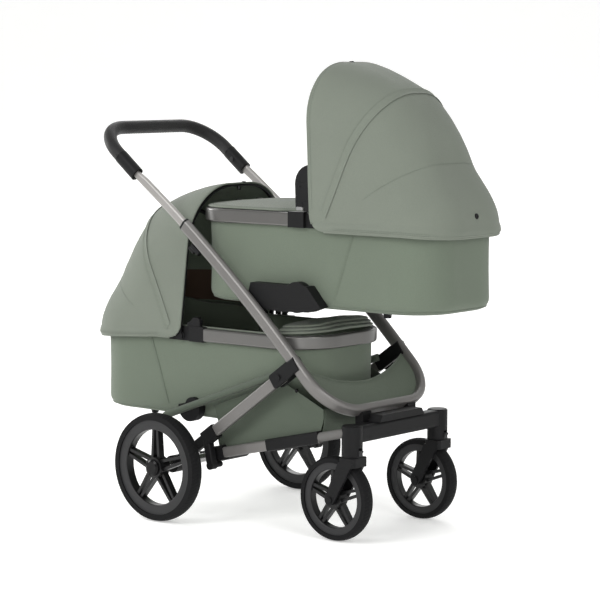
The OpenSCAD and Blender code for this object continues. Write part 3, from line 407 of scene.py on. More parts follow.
class Stock:
    """Gathers the faces of one piece, each with the number of its finish."""

    def __init__(self):
        self.points = []
        self.faces = []
        self.finishes = []

    def add(self, points, faces, finish=0):
        start = len(self.points)
        self.points.extend(tuple(p) for p in points)
        self.faces.extend([start + i for i in face] for face in faces)
        self.finishes.extend([finish] * len(faces))

    def grid(self, rows, finish=0, around=False, flip=False):
        """Quads between rows of points; around closes each row."""
        rows = np.asarray(rows, float)
        count, wide = rows.shape[:2]
        last = wide if around else wide - 1
        faces = []
        for i in range(count - 1):
            for j in range(last):
                k = (j + 1) % wide
                quad = [i * wide + j, i * wide + k, (i + 1) * wide + k, (i + 1) * wide + j]
                faces.append(quad[::-1] if flip else quad)
        self.add(rows.reshape(-1, 3), faces, finish)

    def cap(self, loop, finish=0):
        """One face over a loop of points, with points of its own."""
        self.add(loop, [list(range(len(loop)))], finish)

    def pad(self, rows):
        """Closed pad from a stack of loops."""
        self.grid(rows, 0, around=True)
        self.cap(rows[0][::-1])
        self.cap(rows[-1])

    def shut(self, start, wide, finish=0, turned=False):
        """Faces over both ends of the rings, wide points each, added since a point number."""
        first = list(range(start, start + wide))
        last = list(range(len(self.points) - wide, len(self.points)))
        self.faces += [first[::-1], last] if turned else [first, last[::-1]]
        self.finishes += [finish, finish]

    def sheet(self, outer, inner, out_finish, in_finish):
        """Two facing grids closed round their edges."""
        outer, inner = np.asarray(outer, float), np.asarray(inner, float)
        self.grid(outer, out_finish)
        self.grid(inner, in_finish, flip=True)
        for a, b in (
            (outer[0], inner[0]),
            (inner[-1], outer[-1]),
            (inner[:, 0], outer[:, 0]),
            (outer[:, -1], inner[:, -1]),
        ):
            self.grid([b, a], out_finish)

    def tube(self, path, radius, sides, finish=0, closed=False):
        """Round tube along a path, with its ends capped unless it closes on itself."""
        path = np.asarray(path, float)
        ahead = np.gradient(path, axis=0)
        if closed:
            ahead = np.roll(path, -1, 0) - np.roll(path, 1, 0)
        ahead = unit(ahead)
        across = np.cross(ahead[0], (0.13, 0.27, 0.95))
        turns = np.arange(sides)[:, None] * 2 * math.pi / sides
        rows = []
        for point, along in zip(path, ahead):
            across = across - along * across.dot(along)
            across /= np.linalg.norm(across)
            up = np.cross(along, across)
            rows.append(point + radius * (np.cos(turns) * across + np.sin(turns) * up))
        if closed:
            rows.append(rows[0])
        start = len(self.points)
        self.grid(rows, finish, around=True)
        if not closed:
            self.shut(start, sides, finish, True)

    def stitches(self, path, normals, length, finish=0):
        """Row of raised stitches along a path that lies on cloth."""
        gap, width, height, sunk, lean = 0.6, 0.00042, 0.0005, 0.0003, 0.16
        path, normals = np.asarray(path, float), np.asarray(normals, float)
        run = np.concatenate([[0.0], np.cumsum(np.linalg.norm(np.diff(path, axis=0), axis=1))])
        pitch = length * (1 + gap)
        quads = [(0, 1, 2, 3), (7, 6, 5, 4), (0, 4, 5, 1), (1, 5, 6, 2), (2, 6, 7, 3), (3, 7, 4, 0)]

        def at(rows, place):
            return np.array([np.interp(place, run, rows[:, i]) for i in range(3)])

        for k in range(int(run[-1] / pitch)):
            ends = [at(path, k * pitch + d) for d in (0.1 * pitch, 0.1 * pitch + length)]
            up = at(normals, k * pitch)
            up /= np.linalg.norm(up)
            along = ends[1] - ends[0]
            side = np.cross(up, along)
            side *= width / max(np.linalg.norm(side), 1e-9)
            corners = []
            for end, sign in zip(ends, (1, -1)):
                low = end - up * sunk
                top = end + up * height + along * lean * sign
                corners += [low - side, low + side, top + side * 0.7, top - side * 0.7]
            self.add(corners, quads, finish)

    def lathe(self, profile, centre, axis, steps):
        """Turned piece: profile pairs are distance from the axis and height along it."""
        axis = Vector(axis).normalized()
        side = axis.orthogonal().normalized()
        other = axis.cross(side)
        turns = [2 * math.pi * i / steps for i in range(steps)]
        spokes = [side * math.cos(t) + other * math.sin(t) for t in turns]
        rows = []
        for r, h in profile:
            rows.append([tuple(Vector(centre) + axis * h + spoke * max(r, 1e-5)) for spoke in spokes])
        self.grid(rows, 0, around=True)

    def plate(self, outline, low, high, place, finish=0, bevel=0.0008):
        """Flat plate: its outline in the first and third axes, its faces on the second."""
        outline = np.asarray(outline, float)
        middle = outline.mean(axis=0)
        size = np.abs(outline - middle).max()
        small = middle + (outline - middle) * (1 - bevel / size)
        rise = math.copysign(bevel, high - low)
        rows = []
        for shape, level in ((outline, low), (outline, high - rise), (small, high)):
            levels = np.full(len(shape), level)
            rows.append(place(np.column_stack([shape[:, 0], levels, shape[:, 1]])))
        start = len(self.points)
        self.grid(rows, finish, around=True)
        self.shut(start, len(outline), finish)

    def piece(self, name, finishes, sharp=False):
        """Turns the stock into an object."""
        mesh = bpy.data.meshes.new(name)
        mesh.from_pydata(self.points, [], self.faces)
        for material in finishes:
            mesh.materials.append(material)
        mesh.polygons.foreach_set("material_index", self.finishes)
        mesh.polygons.foreach_set("use_smooth", [not sharp] * len(self.faces))
        mesh.update()
        made = bpy.data.objects.new(name, mesh)
        bpy.context.scene.collection.objects.link(made)
        return made


def rounded(left, right, low, high, r):
    """Outline of a rectangle with round corners."""
    r = min(r, (right - left) / 2, (high - low) / 2)
    centres = ((right - r, high - r), (left + r, high - r), (left + r, low + r), (right - r, low + r))
    points = []
    for turn, (x, y) in enumerate(centres):
        for a in np.linspace(0, math.pi / 2, 6):
            a += turn * math.pi / 2
            points.append((x + r * math.cos(a), y + r * math.sin(a)))
    return np.array(points)


def ripple(point, size, seed):
    """Smooth noise from -1 to 1 at a point."""
    x, y, z = [c / size for c in point]
    return noise.noise(Vector((x + seed, y - seed, z + 2 * seed)))


def plump(piece, voxel, pressure, most):
    """Swells a closed pad with a short cloth simulation; no point moves more than most."""
    scene, last = bpy.context.scene, 20
    remesh = piece.modifiers.new("Remesh", "REMESH")
    remesh.mode = "VOXEL"
    remesh.voxel_size = voxel
    graph = bpy.context.evaluated_depsgraph_get()
    mesh = bpy.data.meshes.new_from_object(piece.evaluated_get(graph))
    for material in piece.data.materials:
        if material.name not in mesh.materials:
            mesh.materials.append(material)
    piece.modifiers.clear()
    piece.data = mesh
    rest = np.array([v.co for v in mesh.vertices], float)
    cloth = piece.modifiers.new("Cloth", "CLOTH")
    cloth.settings.quality = 5
    cloth.settings.use_pressure = True
    cloth.settings.uniform_pressure_force = pressure
    cloth.settings.effector_weights.gravity = 0.0
    cloth.point_cache.frame_start = 1
    cloth.point_cache.frame_end = last
    for step in range(1, last + 1):
        scene.frame_set(step)
    graph = bpy.context.evaluated_depsgraph_get()
    moved = np.array([v.co for v in piece.evaluated_get(graph).data.vertices], float)
    piece.modifiers.clear()
    shift = moved - rest
    far = np.linalg.norm(shift, axis=1)
    shift *= np.minimum(1.0, most / np.maximum(far, 1e-9))[:, None]
    mesh.vertices.foreach_set("co", (rest + shift).ravel())
    mesh.polygons.foreach_set("use_smooth", [True] * len(mesh.polygons))
    mesh.update()
    scene.frame_set(1)


# Cots in their own frame: u towards the head, v to the side, w up

LEAST = 0.0005  # least depth of a hood's hem


def through(x, keys):
    """Value at x of the smooth curve through up to four key points."""
    total = 0.0
    for i, (xi, yi) in enumerate(keys):
        share = 1.0
        for j, (xj, _) in enumerate(keys):
            if i != j:
                share *= (x - xj) / (xi - xj)
        total += share * yi
    return total


class Cot:
    """One of the two cots: its place and its hood. Angles are degrees about the hood's pivot."""

    length = SHELL_HIGH[0] - SHELL_LOW[0]
    width = SHELL_HIGH[1] - SHELL_LOW[1]
    depth = RIM_LOW[2] - SHELL_LOW[2]
    top = RIM_HIGH[2] - SHELL_LOW[2]
    corner = 0.125
    fillet = 0.028
    wall = 0.009
    belly = 0.0016  # how far the sides are drawn in halfway up
    half = 0.1935  # half width of the hood
    start = 0.001  # where the legs of an arch begin, from the pivot
    mid = 64.0  # angle of the middle bow
    hem_drop = 4.0  # angle of the hood's lowest row below the level
    crease = 0.8  # angle over which a fold at a seam is eased
    roll_height, roll_depth = 0.024, 0.0042
    skirt_reach = 0.16  # length over which the hem's front ends are eased

    def __init__(self, name, low, high, turned, lead, crest, hem, hem_corner):
        self.name = name
        self.turned = turned
        self.lead = lead
        self.hem = hem
        self.hem_corner = hem_corner
        self.base = np.array([(low[0] + high[0]) / 2, 0.0, low[2]])
        pivot = JOINTS[name + "_hood_mid"]["pos_m"]
        self.pivot = (abs(pivot[0] - self.base[0]), pivot[2] - low[2])
        # Angle, reach and corner radius of the arch; the spans meet at the seams
        rear, crown = (28.0, 0.332, 0.154), (62.0, crest, 0.180)
        self.spans = [
            [(-self.hem_drop, 0.373, 0.142), (4.5, 0.3685, 0.144), (14.0, 0.351, 0.147), rear],
            [rear, (45.0, 0.353, 0.172), crown],
            [crown, (77.0, 0.388, 0.170), (lead, 0.4095, 0.152)],
        ]

    def turn(self, direction):
        direction = np.asarray(direction, float)
        return direction * np.array([-1.0, -1.0, 1.0]) if self.turned else direction

    def world(self, points):
        return self.turn(points) + self.base

    def rib(self, angle):
        """Reach and corner radius of the hood's arch: smooth between seams, eased at them."""
        found = []
        for spot in angle + np.linspace(-self.crease, self.crease, 7):
            spot = min(max(spot, self.spans[0][0][0]), self.lead)
            keys = next(k for k in self.spans if spot <= k[-1][0] + 1e-9)
            found.append([through(spot, [(k[0], k[i]) for k in keys]) for i in (1, 2)])
        return np.mean(found, axis=0)

    def arch(self, angle, count, out=0.0):
        """Points across the hood at an angle, from one side to the other."""
        reach, r = self.rib(angle)
        half, reach, r = self.half + out, reach + out, r + out
        leg, turn, top = reach - r - self.start, math.pi / 2 * r, 2 * (half - r)
        total = 2 * leg + 2 * turn + top
        points = []
        for s in np.linspace(0, total, count):
            if s < leg:
                x, y = self.start + s, -half
            elif s < leg + turn:
                f = (s - leg) / r
                x, y = reach - r + r * math.sin(f), -half + r * (1 - math.cos(f))
            elif s < leg + turn + top:
                x, y = reach, -(half - r) + s - leg - turn
            elif s < leg + 2 * turn + top:
                f = (s - leg - turn - top) / r
                x, y = reach - r + r * math.cos(f), half - r + r * math.sin(f)
            else:
                x, y = self.start + total - s, half
            points.append((x, y))
        points = np.array(points)
        a = math.radians(angle)
        u = self.pivot[0] + points[:, 0] * math.cos(a)
        w = self.pivot[1] + points[:, 0] * math.sin(a)
        return np.stack([u, points[:, 1], w], axis=1)

    def sideways(self, angle, count):
        """Directions out of the hood in the plane of its arch."""
        step = 0.001
        return (self.arch(angle, count, step) - self.arch(angle, count)) / step

    def rolled(self, row, sideways):
        """A row with the soft roll that the drawn hem makes just above the hood's lower edge."""
        drop = (row[:, 0] - self.pivot[0]) * math.sin(math.radians(self.hem_drop))
        level = np.minimum(self.hem, self.pivot[1] - drop - LEAST)
        rise = np.clip((row[:, 2] - level) / self.roll_height, 0.0, 1.0)
        return row + sideways * (self.roll_depth * np.sin(math.pi * rise))[:, None]

    def front_line(self, level):
        """Where the hood's front edge runs at a level, with the hem's round corner."""
        start, r = self.hem_corner
        below = np.clip(self.hem + r - level, 0.0, r)
        return start + r - np.sqrt(r * r - below * below)

    def cloth_row(self, angle, count, out, trim=True):
        """A row of hood cloth with its slack; trim rolls its hem and rounds its front corner."""
        row = self.arch(angle, count, out)
        if trim:
            row = self.rolled(row, self.sideways(angle, count))
            low = row[:, 2] < self.hem + self.hem_corner[1]
            row[low, 0] = np.maximum(row[low, 0], self.front_line(row[low, 2]))
        slack = [
            max(0.0012 * ripple(p, 0.085, 1.7) + 0.0006 * ripple(p, 0.034, 4.1), -0.0004)
            for p in self.world(row)
        ]
        a, reach = math.radians(angle), 0.2
        middle = (self.pivot[0] + reach * math.cos(a), 0.0, self.pivot[1] + reach * math.sin(a))
        return row + unit(row - np.array(middle)) * np.array(slack)[:, None]

    def edge_row(self, share, count, out):
        """A row of the strip before the lead bow; its lower ends follow the hem's round corners."""
        row = self.cloth_row(self.lead, count, out)
        a = math.radians(self.lead)
        ahead = np.array([-math.sin(a), 0.0, math.cos(a)])
        for point in row:
            rise = max(point[2] - self.hem - self.hem_corner[1], 0.0)
            front = self.front_line(point[2])
            run = (point[0] - front - rise * math.cos(a) / math.sin(a)) / math.sin(a)
            point += ahead * max(run, 0.0) * share
        return row

    def skirt_row(self, share, count, out, rise=0.0):
        """A row of the hem below the hood's last row, from that row at 0 to the hem's edge at 1."""
        row = self.cloth_row(-self.hem_drop, count, out, False)
        for point in row:
            point[2] += (min(self.hem, point[2] - LEAST) - point[2]) * share
        first, far = self.pivot[0], self.skirt_reach
        for i, point in enumerate(row):
            if point[0] < far:
                front = self.front_line(row[0 if i < count / 2 else -1][2])
                point[0] = front + (point[0] - first) * (far - front) / (far - first)
        row[:, 2] += rise
        return self.rolled(row, self.sideways(-self.hem_drop, count))

    def plan(self, inset, count):
        """Loop of the cot's plan outline, drawn in by inset; outwards when negative."""
        half_len, half_w = self.length / 2 - inset, self.width / 2 - inset
        r = max(self.corner - inset, 0.004)
        sides = [2 * (half_w - r), math.pi / 2 * r, 2 * (half_len - r), math.pi / 2 * r] * 2
        loop = []
        for s in np.arange(count) * sum(sides) / count:
            k = 0
            while s > sides[k]:
                s -= sides[k]
                k += 1
            turn = k // 2
            if k % 2 == 0:
                f = s - sides[k] / 2
                loop.append([(half_len, f), (-f, half_w), (-half_len, -f), (f, -half_w)][turn])
            else:
                f = s / r + math.pi / 2 * turn
                ahead, aside = ((1, 1), (-1, 1), (-1, -1), (1, -1))[turn]
                u, v = ahead * (half_len - r), aside * (half_w - r)
                loop.append((u + r * math.cos(f), v + r * math.sin(f)))
        return np.array(loop)

    def loop(self, inset, level, count=200):
        """The plan outline at a level."""
        return np.column_stack([self.plan(inset, count), np.full(count, level)])


COTS = [
    Cot("upper", SHELL_LOW, SHELL_HIGH, False, 92.0, 0.381, 0.200, (0.0312, 0.046)),
    Cot("lower", LOWER_LOW, LOWER_HIGH, True, 97.0, 0.385, 0.213, (0.0375, 0.040)),
]


def outward(rows):
    """Unit normals of a grid of points."""
    rows = np.asarray(rows, float)
    normal = np.cross(np.gradient(rows, axis=1), np.gradient(rows, axis=0))
    size = np.linalg.norm(normal, axis=2)[:, :, None]
    return normal / np.maximum(size, 1e-12)


def cloth_area(rows):
    rows = np.asarray(rows, float)
    a = np.cross(rows[1:, :-1] - rows[:-1, :-1], rows[:-1, 1:] - rows[:-1, :-1])
    b = np.cross(rows[1:, :-1] - rows[1:, 1:], rows[:-1, 1:] - rows[1:, 1:])
    return float((np.linalg.norm(a, axis=2) + np.linalg.norm(b, axis=2)).sum() / 2)


def flat_of(area, wide):
    """Flat size of a cut of that area and width."""
    return (wide, area / wide)


def fan(piece, cot, low, high):
    """Works out the angle of each of a blended piece's points about the hood's pivot, and goes no further."""
    local = cot.turn(np.array([v.co for v in piece.data.vertices], float) - cot.base)
    angle = np.degrees(np.arctan2(local[:, 2] - cot.pivot[1], local[:, 0] - cot.pivot[0]))


def finishes(*names):
    return [Finish.made[name].material for name in names]


# Operators


class PRAM_OT_finishes(bpy.types.Operator):
    """Makes the finishes and puts them on the solids that stay"""

    bl_idname = "pram.finishes"
    bl_label = "Finishes"
    by_slot = {
        "frame_metal": "gunmetal",
        "slider_metal": "slider",
        "black_plastic": "black_moulded",
        "black_gloss": "black_gloss",
        "grey_plastic": "grey_moulded",
        "grip_leather": "grip_leather",
        "hood_fabric": "sage_cloth",
        "cot_fabric": "cot_cloth",
        "rim_trim": "trim",
        "mattress_fabric": "cream_cover",
        "steel": "steel",
    }
    by_name = {
        "rear_tyre": "rear_tyre",
        "front_tyre": "front_tyre",
        "rear_rim": "rear_wheel",
        "front_rim": "front_wheel",
        "basket_rails": "sleeve_cloth",
        "lower_tube_joints": "tube_joint",
        "hinge_pins": "black_moulded",
        "fork_pin": "black_moulded",
        "fold_trigger": "black_moulded",
    }

    def execute(self, context):
        c = context.scene.pram_colours
        thread = context.scene.pram_sizes.thread
        tone = {key: tuple(getattr(c, key)) for key in PramColours.__annotations__}
        black = darker(tone["black"], 0.75)
        woven("sage_cloth", tone["sage"], thread)
        # The cot cloth's darker tone is partly painted shade under the hood's overhang.
        woven("cot_cloth", tone["sage_side"], thread)
        # Basket, rail sleeves and basket lining: darker copies of the cot cloth, painted shade; the lining is
        # darker still.
        woven("basket_cloth", tone["basket"], thread)
        woven("sleeve_cloth", tone["basket"], thread * 0.8)
        woven("basket_lining", darker(tone["basket"], 0.9), thread)
        # Sling cloth: the cot cloth darker still, painted shade for the shadow the sling lies in.
        woven("sling_cloth", darker(tone["sage_side"], 0.82), thread)
        woven("lining", tone["lining"], thread)
        for cot in COTS:
            band = (cot.base[2] + 0.272, cot.base[2] + 0.36, tone["brown"])
            woven(cot.name + "_hood_lining", tone["lining"], thread, band=band)
        woven("cream_cover", tone["cream"], thread * 0.8, contrast=0.06)
        woven("thread", tone["thread"], thread * 0.3, contrast=0.2)
        satin_metal("gunmetal", tone["gunmetal"], rough=0.44, metallic=0.5)
        satin_metal("slider", darker(tone["gunmetal"], 2.0), rough=0.42, metallic=0.5)
        satin_metal("trim", tone["trim"], rough=0.3, metallic=0.7)
        satin_metal("steel", tone["steel"], rough=0.25, metallic=1.0)
        moulded("black_moulded", black)
        moulded("black_gloss", darker(tone["black"], 0.55), rough=0.24)
        moulded("grey_moulded", darker(tone["ring"], 1.4), rough=0.4)
        moulded("tube_joint", black, ahead=(0.258, darker(tone["trim"], 0.9)))
        grained_leather("grip_leather", tone["leather"])
        for end, blocks, ring_depth in (("rear", 92, 0.026), ("front", 70, 0.019)):
            treaded(end + "_tyre", tone["rubber"], end + "_tyre_left", blocks)
            spoked(end + "_wheel", tone["ring"], tone["black"], end + "_rim_left", ring_depth)
        slots = {s["node"]: s["material_slot"] for s in frame["record"]["subparts"]}
        for name, solid in frame["nodes"].items():
            named = [kind for start, kind in self.by_name.items() if name.startswith(start)]
            kind = named[0] if named else self.by_slot[slots[name]]
            solid.data.materials.clear()
            solid.data.materials.append(finishes(kind)[0])
        return {"FINISHED"}


class PRAM_OT_hoods(bpy.types.Operator):
    """Builds the two hoods: lined cloth over the bows, with seams, hems and edge bindings"""

    bl_idname = "pram.hoods"
    bl_label = "Hoods"
    skin = 0.0002  # how far the outer cloth lies off the bows
    sewn = 0.0004  # how far stitches lie off them
    bound, binding = -0.0012, 0.0027  # place and radius of a bound edge
    wide = 0.9  # width of a panel's cut
    back_seam = (33.2, 0.031, 0.165)  # angle, shift from the pivot and least reach of a seam
    crown_seams = ((65.0, 0.0145, 0.036), (65.0, 0.0265, 0.036))

    def execute(self, context):
        size = context.scene.pram_sizes
        for cot in COTS:
            worn = finishes("sage_cloth", cot.name + "_hood_lining", "thread")
            self.rear(cot, size, worn)
            self.front(cot, size, worn)
            self.liner(cot, size)
        return {"FINISHED"}

    def rows(self, cot, angles, count, out):
        return [cot.world(cot.cloth_row(a, count, out)) for a in angles]

    def lined(self, rows, size):
        """Outer face of a panel, and a stock that holds the panel with its lining."""
        outer, inner = [np.array(rows(out)) for out in (self.skin, -size.cloth)]
        stock = Stock()
        stock.sheet(inner, outer, 1, 0)
        return outer, stock

    def seam(self, stock, cot, size, angle, shift, least):
        """Stitches where a flat cut, at an angle and shifted from the pivot, meets the hood."""
        count = size.columns
        angles = np.linspace(max(angle - 40.0, 1.0 - cot.hem_drop), angle, 27)
        local = np.array([cot.cloth_row(a, count, self.sewn) for a in angles])
        faces = -outward(np.array([cot.world(row) for row in local]))
        a = math.radians(angle)
        flat = local - np.array([cot.pivot[0], 0.0, cot.pivot[1]])
        away = -flat[:, :, 0] * math.sin(a) + flat[:, :, 2] * math.cos(a) + shift
        reach = np.hypot(flat[-1, :, 0], flat[-1, :, 2])
        line, normals = [], []
        for j in range(count):
            over = np.nonzero(away[:, j] > 0)[0]
            if reach[j] < least or len(over) == 0 or over[0] == 0:
                continue
            k = over[0]
            t = away[k - 1, j] / (away[k - 1, j] - away[k, j])
            line.append(local[k - 1, j] * (1 - t) + local[k, j] * t)
            normals.append(faces[k - 1, j] * (1 - t) + faces[k, j] * t)
        line, normals = cot.world(line), np.array(normals)
        stock.stitches(line, normals, size.stitch, finish=2)
        return line, normals

    def welt(self, stock, first, second):
        """Doubled cloth between two seams; it stands proud and falls away past each seam."""
        count = min(len(first[0]), len(second[0]))
        lap, past, sunk, lift, proud, thick = 0.004, 0.0006, 0.0011, 0.0001, 0.0009, 0.0012

        def thinned(rows):
            return rows[np.linspace(0, len(rows) - 1, count).round().astype(int)]

        a, b, up = thinned(first[0]), thinned(second[0]), thinned(first[1])
        across = unit(b - a)
        rows = [a - across * lap - up * sunk, a - across * past + up * lift]
        for t in (0.12, 0.35, 0.65, 0.88):
            rows.append(a * (1 - t) + b * t + up * proud * math.sin(math.pi * t) ** 0.5)
        rows += [b + across * past + up * lift, b + across * lap - up * sunk]
        under = [row - up * thick for row in rows]
        stock.sheet(rows[::-1], under[::-1], 0, 0)

    def rear(self, cot, size, worn):
        count = size.columns
        angles = np.linspace(-cot.hem_drop, cot.mid, 46)
        shares = (1.0, 0.85, 0.65, 0.45, 0.25, 0.0)

        def rows(out):
            skirt = [cot.world(cot.skirt_row(s, count, out)) for s in shares]
            return skirt + self.rows(cot, angles[1:], count, out)

        outer, stock = self.lined(rows, size)
        stock.tube(cot.world(cot.skirt_row(1.0, count, self.bound)), self.binding, 8)
        hem = -outward(outer[:3])[0]
        for rise in (0.0065, 0.0105):
            line = cot.world(cot.skirt_row(1.0, count, self.sewn, rise))
            stock.stitches(line[4:-4], hem[4:-4], size.stitch, finish=2)
        self.seam(stock, cot, size, *self.back_seam)
        pair = [self.seam(stock, cot, size, *place) for place in self.crown_seams]
        for end in (0, -1):
            ends = np.array([line[end] for line, _ in pair])
            stock.stitches(ends, [normals[end] for _, normals in pair], size.stitch, finish=2)
        self.welt(stock, *pair)
        made = stock.piece(cot.name + "_hood_rear", worn)
        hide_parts(cot.name + "_canopy_rear")
        first, last = outer[len(shares)][count // 2], outer[-1][count // 2]
        tuple(first)
        tuple(last)
        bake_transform(made)
        fan(made, cot, 4.0, cot.mid - 1.0)
        area = cloth_area(outer)
        flat_of(area, self.wide)

    def front(self, cot, size, worn):
        count = size.columns
        angles = np.linspace(cot.mid, cot.lead, 24)

        def rows(out):
            strip = [cot.world(cot.edge_row(s, count, out)) for s in (0.35, 0.7, 1.0)]
            return self.rows(cot, angles, count, out) + strip

        outer, stock = self.lined(rows, size)
        stock.tube(cot.world(cot.edge_row(1.0, count, self.bound)), self.binding, 8)
        line = cot.world(cot.edge_row(0.25, count, self.sewn))
        stock.stitches(line[3:-3], -outward(outer[-4:])[1][3:-3], size.stitch, finish=2)
        made = stock.piece(cot.name + "_hood_front", worn)
        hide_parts(cot.name + "_canopy_front")
        first, last = outer[0][count // 2], outer[len(angles) - 1][count // 2]
        tuple(first)
        tuple(last)
        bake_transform(made)
        fan(made, cot, cot.mid, cot.lead)
        area = cloth_area(outer)
        flat_of(area, self.wide)

    def liner(self, cot, size):
        """Lining that stands up inside the hood round the cot's head end, with piping on its edge."""
        foot, low, climb_height, back = 0.2, 0.2665, 0.016, 0.062
        faces = []
        for inset in (0.014, 0.0166):
            path = np.roll(cot.plan(inset, 240), 120, axis=0)
            path = path[path[:, 0] > back]
            climb = np.clip((path[:, 0] - 0.25) / 0.12, 0.0, 1.0)
            top = low + climb_height * climb * climb * (3 - 2 * climb)
            steps = np.linspace(0, 1, 8)
            rows = [np.column_stack([path, foot + (top - foot) * t]) for t in steps]
            faces.append(np.array([cot.world(row) for row in rows]))
        stock = Stock()
        stock.sheet(faces[0], faces[1], 0, 0)
        stock.tube((faces[0][-1] + faces[1][-1]) / 2, size.piping, 8, 1)
        made = stock.piece(cot.name + "_head_lining", finishes("lining", "sage_cloth"))
        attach(made, cot.name + "_cot")
        area = cloth_area(faces[0])


class PRAM_OT_cot_bodies(bpy.types.Operator):
    """Builds the cloth bodies of the cots with their linings, seams and piping"""

    bl_idname = "pram.cot_bodies"
    bl_label = "Cot bodies"

    def execute(self, context):
        size = context.scene.pram_sizes
        for cot in COTS:
            self.body(cot, size)
        return {"FINISHED"}

    def body(self, cot, size):
        f, lip, waver = cot.fillet, cot.top - 0.0006, 0.0007
        turns = np.linspace(0, math.pi / 2, 9)
        levels = [(f * (1 - math.sin(a)), f * (1 - math.cos(a))) for a in turns]
        levels += [(0.0, w) for w in np.linspace(f + 0.012, cot.depth + 0.006, 15)]
        levels += [(0.0, cot.top - 0.0014), (0.0012, lip), (cot.wall, lip)]
        rows = []
        for inset, w in levels:
            row = cot.loop(inset, w)
            lean = cot.belly * math.sin(math.pi * min(1.0, max(0.0, (w - f) / (cot.depth - f))))
            soft = [lean + waver * (1 + ripple(p, 0.11, 3.3)) for p in cot.world(row)]
            away = unit(row - np.array([0.0, 0.0, w]))
            rows.append(cot.world(row - away * np.array(soft)[:, None]))
        inside = [
            cot.world(cot.loop(cot.wall + inset, w))
            for inset, w in (
                (0.0, lip),
                (0.0015, cot.top - 0.05),
                (0.0, 0.05),
                (0.003, 0.03),
                (0.016, cot.wall + 0.0005),
            )
        ]
        stock = Stock()
        stock.grid(rows, 0, around=True)
        stock.cap(rows[0][::-1], 0)
        stock.grid(inside, 1, around=True)
        stock.cap(inside[-1], 1)
        self.seams(stock, cot, size)
        worn = finishes("cot_cloth", "lining", "thread", "sage_cloth")
        made = stock.piece(cot.name + "_cot_body", worn)
        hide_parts(cot.name + "_shell")
        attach(made, cot.name + "_cot")

    def seams(self, stock, cot, size):
        """Piping round the lower edge and on the lip, and a leaning lapped seam on each side."""
        stock.tube(cot.world(cot.loop(0.0082, 0.0078)), 0.0016, 6, 0, closed=True)
        lip = np.roll(cot.loop(0.0045, cot.top + 0.0012, 240), 120, axis=0)
        lip = lip[lip[:, 0] > (-0.275 if cot.turned else 0.036)]
        stock.tube(cot.world(lip), 0.0027, 8, 3)
        low, wide, steep, back, count = 0.03, 0.014, 0.35, 0.096, 30
        w = np.linspace(low, cot.depth - 0.002, count)
        drawn = cot.belly * np.sin(np.pi * (w - cot.fillet) / (cot.depth - cot.fillet))
        u = back + steep * (w - low)
        for side in (-1, 1):
            v = side * (cot.width / 2 - 0.0018 - drawn)
            out = cot.turn((0.0, side, 0.0))

            def flap(share, lift=0.0):
                proud = 0.0026 * (1 - share) ** 1.5 + 0.0004
                return cot.world(np.column_stack([u + wide * share, v, w])) + out * (proud + lift)

            steps = np.linspace(0.0, 1.0, 6)[::side]
            outer, under = [[flap(t, lift) for t in steps] for lift in (0.0, -0.0014)]
            stock.sheet(outer, under, 0, 0)
            for share in (0.3, 0.5):
                stock.stitches(flap(share, 0.0002), np.tile(out, (count, 1)), size.stitch, finish=2)


